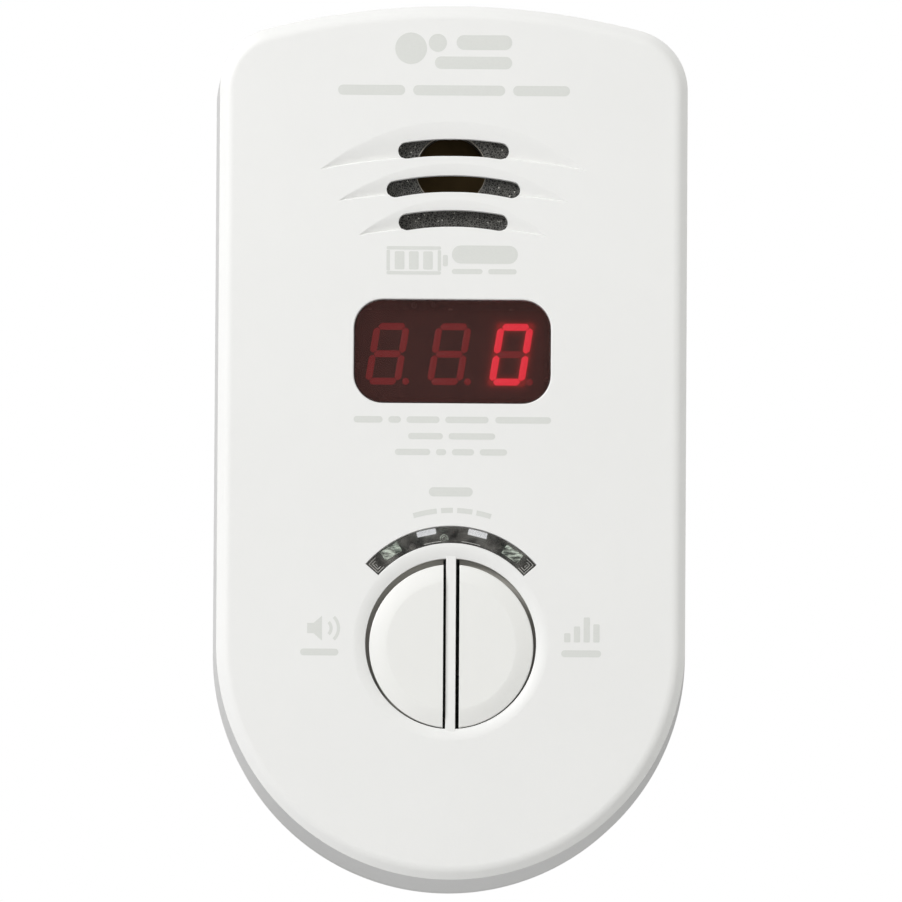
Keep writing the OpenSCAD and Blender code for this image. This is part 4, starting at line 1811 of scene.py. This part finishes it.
@dataclass
class PushButton:
    """One half of the split round button, with a soft shoulder round its curved edge.

    Attributes:
        side: Which half.
        node: The CAD node that it stands for.
        body: The body that it rides on.
        name: Name of the piece.
        flat_x: Distance of the straight edge from the middle.
        radius: Radius of the curved edge.
        shoulder: Width of the shoulder.
        drop: How far the shoulder falls.
        edge: Rounding of the curved edge.
        shift: How far the curved edge sits to the right of the middle.
        flange_r: Radius of the flange behind the front wall.
    """

    side: Side
    node: str
    body: str
    name: str
    flat_x: float
    radius: float = 14.4 * MM
    shoulder: float = 3.2 * MM
    drop: float = 0.62 * MM
    edge: float = 0.25 * MM
    shift: float = 0.1 * MM
    flange_r: float = 15.9 * MM

    def disc(self) -> Form:
        """The whole round button before it is halved.

        Returns:
            The button.
        """
        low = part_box(self.node)[0]
        y0, flange_y = low[1], low[1] + 2.7 * MM
        flange_y1 = flange_y + 1.1 * MM
        steps, hollow = 12, 1.3
        width = self.shoulder - self.edge
        slope = [(self.radius - self.shoulder + width * k / steps, y0 + self.drop * (k / steps) ** hollow)
                 for k in range(steps + 1)]
        corner = [(self.radius + grow, y) for grow, y in rounding(self.edge, y0 + self.drop, 1, 4)[1:]]
        return Form().spun([(0, y0), *slope, *corner, (self.radius, flange_y), (self.flange_r, flange_y),
                            (self.flange_r, flange_y1), (0, flange_y1)],
                           self.shift, middle(self.node).z, 144)

    def build(self) -> None:
        """Builds and dresses the button."""
        low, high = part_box(self.node)
        z = middle(self.node).z
        form = self.disc()
        normal = Vector((self.side.value, 0, 0))
        cut = bmesh.ops.bisect_plane(form.bm, geom=[*form.bm.verts, *form.bm.edges, *form.bm.faces],
                                     plane_co=normal * self.flat_x, plane_no=normal, clear_inner=True)
        rim = [e for e in cut["geom_cut"] if isinstance(e, bmesh.types.BMEdge)]
        bmesh.ops.contextual_create(form.bm, geom=rim)
        bmesh.ops.recalc_face_normals(form.bm, faces=form.bm.faces)
        front = low[1] + self.drop + self.edge + 0.1 * MM
        straight = [e for e in form.sharp_edges(60)
                    if all(abs(v.co.x - normal.x * self.flat_x) < 1e-6 and v.co.y < front for v in e.verts)]
        form.bevelled(straight, 0.16 * MM, 2)
        stem = Form().spun([(0, high[1] - 4 * MM), (2 * MM, high[1] - 4 * MM), (2 * MM, high[1] - 0.2 * MM),
                            (1.8 * MM, high[1]), (0, high[1])], self.side.value * 7.5 * MM, z, 32)
        cap = form.piece(self.name)
        carve(cap, [stem], Cut.JOIN)
        firm_flats(cap, 30)
        # Painted shade on the cap's walls deep in the gap, where shade falls.
        gap = PaintedGapShade(z, self.flange_r + 0.1 * MM, front + 0.2 * MM)
        fit(cap, replace(BUTTON_WHITE, painted_gap_shade=gap), self.body, [self.node])


# ---------------------------------------------------------------------------------------------
# Printing
# ---------------------------------------------------------------------------------------------


@dataclass
class FrontPrinting:
    """Generic printed marks on the front: bars where words would stand, and plain pictograms.

    Attributes:
        film: Thickness of the ink.
    """

    film: float = 0.02 * MM

    def __post_init__(self) -> None:
        """Starts the form on the front face."""
        self.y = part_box("front_cover")[0][1]
        self.button_z = middle("test_hush_button").z
        self.form = Form()

    def shape(self, plan: Plan) -> None:
        """Adds one flat shape of ink."""
        rings = [[(x, y, z) for x, z in plan] for y in (self.y - self.film, self.y - 0.001 * MM)]
        self.form.loft(rings)

    def bar(self, x0: float, x1: float, z: float, h: float) -> None:
        """A bar with round ends between x0 and x1, h high about z, all in millimetres."""
        self.shape(rounded_box((x0 + x1) / 2 * MM, z * MM, (x1 - x0) * MM, h * MM, h / 2 * 0.98 * MM, n=6))

    def block(self, x: float, z: float, w: float, h: float, r: float) -> None:
        """An upright block with softened corners, w by h about (x, z), in millimetres."""
        self.shape(rounded_box(x * MM, z * MM, w * MM, h * MM, r * MM))

    def disc(self, x: float, z: float, r: float) -> None:
        """A round spot, in millimetres."""
        self.shape(arc(x * MM, z * MM, r * MM, 0, 350, 35))

    def words(self, z: float, h: float, spans: Sequence[tuple[float, float]]) -> None:
        """A line of bars, one for each word."""
        for x0, x1 in spans:
            self.bar(x0, x1, z, h)

    def molecule(self, x: float, z: float) -> None:
        """Two atoms side by side, a large and a small spot."""
        self.disc(x - 1.2, z + 0.3, 2.8)
        self.disc(x + 3.5, z + 1.3, 1.6)

    def battery(self, x: float, z: float) -> None:
        """A battery: an open frame with a terminal and three bars of charge.

        Args:
            x: Centre, to the right.
            z: Centre, up.
        """
        w, h, t = 9.6, 5.0, 0.6
        for side in (-1, 1):
            self.bar(x - w / 2, x + w / 2, z + side * (h - t) / 2, t)
            self.block(x + side * (w - t) / 2, z, t, h - 2.2 * t, 0.2)
        self.block(x + w / 2 + 0.75, z, 0.9, 2.0, 0.3)
        for k in range(3):
            self.block(x - 2.5 + 2.5 * k, z, 1.7, h - 3 * t, 0.25)

    def arched_words(self) -> None:
        """A line of four short bars bent over the lens."""
        r = 22.9 * MM
        z = self.button_z + 1.0 * MM
        for t0, t1 in ((-17.0, -6.5), (-4.6, 0.6), (2.5, 9.2), (11.0, 17.6)):
            self.shape(arc(0, z, r + 0.45 * MM, t0, t1, 10) + arc(0, z, r - 0.45 * MM, t1, t0, 10))

    def speaker(self, x: float, z: float) -> None:
        """A small loudspeaker with two waves.

        Args:
            x: Place, to the right.
            z: Place, up.
        """
        cone = ((-2.6, -0.9), (-2.6, 0.9), (-1.5, 0.9), (0, 2.2), (0, -2.2), (-1.5, -0.9))
        self.shape([((x + p) * MM, (z + q) * MM) for p, q in cone])
        mid, line = (x + 0.1) * MM, 0.28 * MM
        for r in (1.5 * MM, 2.8 * MM):
            self.shape(arc(mid, z * MM, r + line, 45, 135, 10) + arc(mid, z * MM, r - line, 135, 45, 10))

    def peaks(self, x: float, z: float) -> None:
        """A small chart whose middle bar is the tallest."""
        for k, h in enumerate((1.6, 2.8, 4.4, 3.2)):
            self.block(x - 2.55 + 1.7 * k, z - 2.2 + h / 2, 1.1, h, 0.2)

    def build(self) -> None:
        """Builds and dresses the printing."""
        self.molecule(-6.4, 51.0)
        self.words(52.4, 2.6, [(0.4, 10.2)])
        self.words(48.8, 2.2, [(-3.4, 10.2)])
        self.words(43.9, 1.8, [(-20.4, -8.6), (-7.2, 9.0), (10.4, 20.4)])
        self.battery(-6.9, 13.8)
        self.words(14.9, 3.2, [(-0.2, 11.4)])
        self.words(11.9, 0.9, [(-0.2, 5.2), (6.2, 11.2)])
        self.words(-14.3, 1.15, [(-17.3, -12.2), (-11.2, -9.0), (-8.0, -2.2), (-1.2, 6.4), (7.6, 17.4)])
        self.words(-17.2, 1.1, [(-7.7, -1.6), (-0.6, 7.6)])
        self.words(-20.0, 1.1, [(-10.0, -3.8), (-2.8, -1.0), (0.0, 3.9), (4.9, 9.7)])
        self.words(-27.0, 1.6, [(-4.0, 3.7)])
        self.arched_words()
        z = self.button_z / MM
        self.speaker(-22.6, z + 3.0)
        self.words(z - 1.2, 1.2, [(-26.4, -19.7)])
        self.peaks(23.0, z + 3.0)
        self.words(z - 1.2, 1.2, [(19.4, 26.4)])
        fit(self.form.piece("front_printing", 60), PRINT_GREY, "case")


# ---------------------------------------------------------------------------------------------
# The back
# ---------------------------------------------------------------------------------------------


@dataclass
class Plug:
    """The two blades and the block that carries them."""

    pitch: float = 12.7 * MM
    width: float = 6.35 * MM
    thickness: float = 1.5 * MM

    def blade(self, x: float) -> bpy.types.Object:
        """One blade: a flat bar with a tapered tip, softened edges and a cross hole.

        Args:
            x: Centre, to the right.

        Returns:
            The blade.
        """
        tip_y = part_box("plug_blades")[1][1]
        root_y, neck_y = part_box("plug_blades")[0][1], -9 * MM
        w, taper, cut = self.width / 2, 2 * MM, 1.4 * MM
        neck = 1.5 * MM
        side = [(root_y, -neck), (neck_y, -neck), (neck_y, -w), (tip_y - taper, -w), (tip_y, cut - w),
                (tip_y, w - cut), (tip_y - taper, w), (neck_y, w), (neck_y, neck), (root_y, neck)]
        half = self.thickness / 2
        form = Form().loft([[(x + s * half, y, z) for y, z in side] for s in (-1, 1)])
        bmesh.ops.recalc_face_normals(form.bm, faces=form.bm.faces)
        form.bevelled([e for e in form.sharp_edges(40) if min(v.co.y for v in e.verts) > 0], 0.22 * MM, 3)
        blade = form.piece("blade")
        wide, narrow, reach = 2.1 * MM, 1.6 * MM, 2 * MM
        hole = Form().spun([(0, -reach), (wide, -reach), (wide, -0.8 * MM), (narrow, -0.5 * MM),
                            (narrow, 0.5 * MM), (wide, 0.8 * MM), (wide, reach), (0, reach)], steps=40)
        hole.placed(Matrix.Translation((x, tip_y - 4.8 * MM, 0)) @ Matrix.Rotation(math.pi / 2, 4, "Z"))
        carve(blade, [hole])
        return blade

    def build(self) -> None:
        """Builds and dresses the blades; the carrier gets softened edges."""
        blades = join([self.blade(side * self.pitch / 2) for side in (-1, 1)], "blade_pair")
        firm_flats(blades, 35, 4e-6)
        fit(blades, NICKEL, "case", ["plug_blades"])
        low, high = corners("blade_carrier")
        rim_y = high.y - 2.2 * MM
        rim = 1.6 * MM
        soft = 0.3 * MM
        w, h = high.x - low.x - 2 * rim, high.z - low.z - 2 * rim
        block = Form().plates(lambda g: rounded_box(0, 0, w, h, 0.9 * MM, g),
                              [(rim, low.y), (rim, rim_y), (0, rim_y), (0, high.y - soft),
                               (-soft * 0.3, high.y - soft * 0.3), (-soft, high.y)]).piece("carrier_block")
        slots, rings = [], []
        play, flare = 0.01 * MM, 0.25 * MM
        for side in (-1, 1):
            x, t, wide = side * self.pitch / 2, self.thickness / 2 + play, self.width / 2 + play
            slots.append(Form().box((x - t, low.y - 1 * MM, -wide), (x + t, high.y + 1 * MM, wide)))
            rings.append(Form().plates(
                lambda g, c=x: rounded_box(c, 0, 4.6 * MM, 9.4 * MM, 1 * MM, g),
                [(0, high.y - 0.35 * MM), (flare, high.y + 0.1 * MM), (flare, high.y + 1 * MM)]))
        carve(block, slots)
        carve(block, rings)
        firm_flats(block, 35)
        fit(block, CARRIER_BLACK, "case", ["blade_carrier"])


@dataclass
class RearLabel:
    """A plain rating label with a thin frame and bars where its words would stand."""

    def build(self) -> None:
        """Builds and dresses the label and its print."""
        low, high = corners("rating_label")
        at, size = (low + high) / 2, high - low
        soft = 0.03 * MM
        label = Form().plates(lambda g: rounded_box(at.x, at.z, size.x, size.z, 1.8 * MM, g),
                              [(0, low.y), (0, high.y - soft), (-soft, high.y)]).piece("label_sheet")
        shade(label, 40)
        fit(label, LABEL_FILM, "case", ["rating_label"])
        form = Form()
        film = (high.y + 0.001 * MM, high.y + 0.02 * MM)

        def ink(plan: Plan) -> None:
            """Adds one flat shape of ink."""
            form.loft([[(x, y, z) for x, z in plan] for y in film])

        inset, line = 1.4 * MM, 0.25 * MM
        wide, tall = size.x - 2 * inset, size.z - 2 * inset
        for side in (-1, 1):
            ink(rounded_box(at.x, at.z + side * (tall - line) / 2, wide, line, line * 0.4, n=2))
            ink(rounded_box(at.x + side * (wide - line) / 2, at.z, line, tall - 2.4 * line, line * 0.4, n=2))
        rows = (((0.0, 0.42),), ((0.0, 0.30), (0.34, 0.58), (0.62, 0.86)), ((0.0, 0.44), (0.48, 0.72)),
                ((0.0, 0.24), (0.28, 0.52), (0.56, 0.94)), ((0.0, 0.36), (0.40, 0.66)),
                ((0.0, 0.28), (0.32, 0.60), (0.64, 0.90)), ((0.0, 0.50),))
        span = wide - 4 * MM
        for row, words in enumerate(rows):
            z = at.z + tall / 2 - (3.2 + 3.5 * row) * MM
            h = (0.8 if row else 1.6) * MM
            for start, end in words:
                x = at.x + span / 2 - (start + end) / 2 * span
                ink(rounded_box(x, z, (end - start) * span, h, 0.38 * MM, n=4))
        fit(form.piece("label_print", 60), LABEL_INK, "case")


@dataclass
class OffSlider:
    """The slider that switches the alarm off for good, with a ribbed thumb pad."""

    def build(self) -> None:
        """Builds and dresses the slider."""
        low, high = corners("deactivate_slider")
        at = middle("deactivate_slider")
        plate_y0, plate_y1 = -4.3 * MM, -2.25 * MM
        slider = Form().box((low.x, plate_y0, low.z), (high.x, plate_y1, high.z),
                            0.2 * MM).piece("off_slider_body")

        def part(x: float, half_x: float, half_z: float, y0: float, y1: float, edge: float = 0) -> Form:
            """A block x from the slider's middle, between two depths."""
            return Form().box((at.x + x - half_x, y0, at.z - half_z),
                              (at.x + x + half_x, y1, at.z + half_z), edge)

        pad = part(0, 2 * MM, 1.55 * MM, plate_y0 + 1 * MM, high.y, 0.2 * MM)
        arm = part(0, 1.5 * MM, 1.5 * MM, low.y, plate_y0 + 0.3 * MM, 0.15 * MM)
        carve(slider, [pad, arm], Cut.JOIN)
        fork = part(0, 0.75 * MM, 2 * MM, low.y - 1 * MM, low.y + 1.7 * MM)
        grooves = [part(k * 0.8 * MM, 0.17 * MM, 2 * MM, high.y - 0.3 * MM, high.y + 1 * MM)
                   for k in range(-2, 3)]
        carve(slider, [fork, *grooves])
        firm_flats(slider, 35, 1e-6)
        fit(slider, SLIDER_RED, "off_slider", ["deactivate_slider"])


# ---------------------------------------------------------------------------------------------
# The inner parts that keep their own shapes
# ---------------------------------------------------------------------------------------------


INNER_FINISHES = {
    "horn_chamber": HORN_BLACK, "piezo_disc": DARK_BRASS, "piezo_ceramic": SILVERED_CERAMIC,
    "horn_contacts": STEEL, "main_board": BOARD, "processor_chip": CHIP_BLACK,
    "driver_chip": CHIP_BLACK, "surface_parts": FIRED_CHIP, "horn_inductor": FERRITE_GREY,
    "co_sensor": CAN_STEEL, "sensor_cap": CAP_BLUE, "lithium_cell": SLEEVE_GOLD,
    "cell_holder": INNER_BLACK, "cell_tabs": STEEL, "film_capacitor": FILM_YELLOW,
    "reservoir_capacitor": SLEEVE_BLUE, "surge_varistor": DIPPED_BLUE,
    "fusible_resistor": DIPPED_GREEN, "bridge_rectifier": CHIP_BLACK,
    "test_switch_base": INNER_BLACK, "peak_switch_base": INNER_BLACK,
    "slide_switch_base": CAN_STEEL, "board_screws": STEEL,
    "test_switch_plunger": KNOB_IVORY, "peak_switch_plunger": KNOB_IVORY,
    "slide_switch_knob": KNOB_IVORY,
}


def dress_inner_parts() -> None:
    """Gives every CAD node that keeps its own shape its finish."""
    for node, finish in INNER_FINISHES.items():
        dress(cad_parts[node], finish)
        LOG.info("%s: %s", node, finish.name)


# ---------------------------------------------------------------------------------------------
# The studio
# ---------------------------------------------------------------------------------------------


@dataclass
class Studio:
    """A pale floor, soft light and the camera.

    Attributes:
        azimuth: Bearing of the camera, in degrees; negative is to the left.
        elevation: Height of the camera above the level, in degrees.
        distance: Distance of the camera from what it looks at.
        view_width: Width of the picture at that distance.
        aim: Point (x, z) of the front plane that it looks at.
        roll: Turn of the picture, in degrees.
        floor_z: Height of the floor.
    """

    azimuth: float = -0.7
    elevation: float = -5.1
    distance: float = 3.0
    view_width: float = 158.4 * MM
    aim: tuple[float, float] = (-0.15 * MM, -19.8 * MM)
    roll: float = 0.35
    floor_z: float = -0.26

    def camera(self) -> None:
        """Puts up the camera."""
        target = Vector((self.aim[0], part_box("front_cover")[0][1], self.aim[1]))
        a, e = math.radians(self.azimuth), math.radians(self.elevation)
        back = Vector((math.sin(a) * math.cos(e), -math.cos(a) * math.cos(e), math.sin(e)))
        data = bpy.data.cameras.new("camera")
        data.sensor_width = 36
        data.lens = 36 * self.distance / self.view_width
        data.clip_start, data.clip_end = 0.05, 50
        camera = bpy.data.objects.new("camera", data)
        bpy.context.scene.collection.objects.link(camera)
        aim = (-back).to_track_quat("-Z", "Y").to_matrix().to_4x4()
        camera.matrix_world = (Matrix.Translation(target + back * self.distance) @ aim
                               @ Matrix.Rotation(math.radians(self.roll), 4, "Z"))
        bpy.context.scene.camera = camera

    def lamp(self, name: str, at: Sequence[float], size: float, power: float,
             colour: Colour = (1, 1, 1)) -> None:
        """Puts up a soft square lamp that faces the alarm.

        Args:
            name: Its name.
            at: Where it stands.
            size: Length of its edge.
            power: Its power.
            colour: Its colour.
        """
        data = bpy.data.lights.new(name, "AREA")
        data.size = size
        data.energy = power
        data.color = colour
        lamp = bpy.data.objects.new(name, data)
        lamp.location = at
        lamp.rotation_mode = "QUATERNION"
        lamp.rotation_quaternion = (Vector((0, -0.02, -0.02)) - Vector(at)).to_track_quat("-Z", "Y")
        bpy.context.scene.collection.objects.link(lamp)

    def sky(self) -> None:
        """Even light from all round, less from below, before a white backdrop."""
        world = bpy.data.worlds.new("studio")
        bpy.context.scene.world = world
        world.use_nodes = True
        tree = world.node_tree
        tree.nodes.clear()
        place = tree.nodes.new("ShaderNodeTexCoord")
        parts = tree.nodes.new("ShaderNodeSeparateXYZ")
        tree.links.new(place.outputs["Generated"], parts.inputs[0])
        ramp = tree.nodes.new("ShaderNodeMapRange")
        for name, value in (("From Min", -0.5), ("From Max", 0.8), ("To Min", 0.26), ("To Max", 0.58)):
            ramp.inputs[name].default_value = value
        tree.links.new(parts.outputs["Z"], ramp.inputs["Value"])
        soft = tree.nodes.new("ShaderNodeBackground")
        tree.links.new(ramp.outputs["Result"], soft.inputs["Strength"])
        white = tree.nodes.new("ShaderNodeBackground")
        white.inputs["Color"].default_value = (1, 1, 1, 1)
        path = tree.nodes.new("ShaderNodeLightPath")
        mix = tree.nodes.new("ShaderNodeMixShader")
        tree.links.new(path.outputs["Is Camera Ray"], mix.inputs[0])
        tree.links.new(soft.outputs[0], mix.inputs[1])
        tree.links.new(white.outputs[0], mix.inputs[2])
        output = tree.nodes.new("ShaderNodeOutputWorld")
        tree.links.new(mix.outputs[0], output.inputs["Surface"])

    def floor(self) -> None:
        """Lays the floor."""
        bm = bmesh.new()
        bmesh.ops.create_grid(bm, x_segments=2, y_segments=2, size=5)
        bmesh.ops.translate(bm, vec=(0, 0, self.floor_z), verts=bm.verts)
        mesh = bpy.data.meshes.new("floor")
        bm.to_mesh(mesh)
        bm.free()
        floor = bpy.data.objects.new("floor", mesh)
        bpy.context.scene.collection.objects.link(floor)
        recipe = Recipe("floor_paint")
        cloud = recipe.noise(1.5, 2)
        seen = recipe.add("ShaderNodeNewGeometry", output="Backfacing")
        paint = recipe.add("ShaderNodeBsdfPrincipled", {}, {
            "Base Color": recipe.mix(cloud, (0.52, 0.52, 0.52), (0.56, 0.56, 0.56)), "Roughness": 0.8})
        clear = recipe.add("ShaderNodeBsdfTransparent")
        shader = recipe.add("ShaderNodeMixShader", {}, {0: seen, 1: paint, 2: clear})
        recipe.add("ShaderNodeOutputMaterial", {}, {"Surface": shader})
        mesh.materials.append(recipe.material)

    def build(self) -> None:
        """Sets up the whole studio."""
        bpy.context.scene.view_settings.view_transform = "Standard"
        self.camera()
        self.sky()
        self.floor()
        self.lamp("key", (-1.05, -1.12, 0.8), 0.6, 21.3)
        self.lamp("fill", (1.1, -1.5, 0.3), 1.0, 3.6, (1.0, 1.0, 0.88))
        self.lamp("back", (0.25, 1.5, 1.1), 0.8, 9.0)


def main() -> None:
    """Builds the studio and then the alarm, piece by piece."""
    logging.basicConfig(level=logging.INFO, format="%(name)s: %(message)s")
    Studio().build()
    low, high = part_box("front_cover")
    half_width = (high[0] - low[0]) / 2
    outline = CaseOutline(half_width, high[2], low[2] + half_width)
    FrontCover(outline).build()
    RearCover(outline).build()
    Screws().build()
    FrontPrinting().build()
    Display().build()
    StatusLamps().build()
    Horn().build()
    PushButton(Side.LEFT, "test_hush_button", "test_button", "test_hush_cap", 1.345 * MM).build()
    PushButton(Side.RIGHT, "peak_level_button", "peak_button", "peak_level_cap", 1.5 * MM).build()
    Plug().build()
    RearLabel().build()
    OffSlider().build()
    dress_inner_parts()


if __name__ == "__main__":
    main()
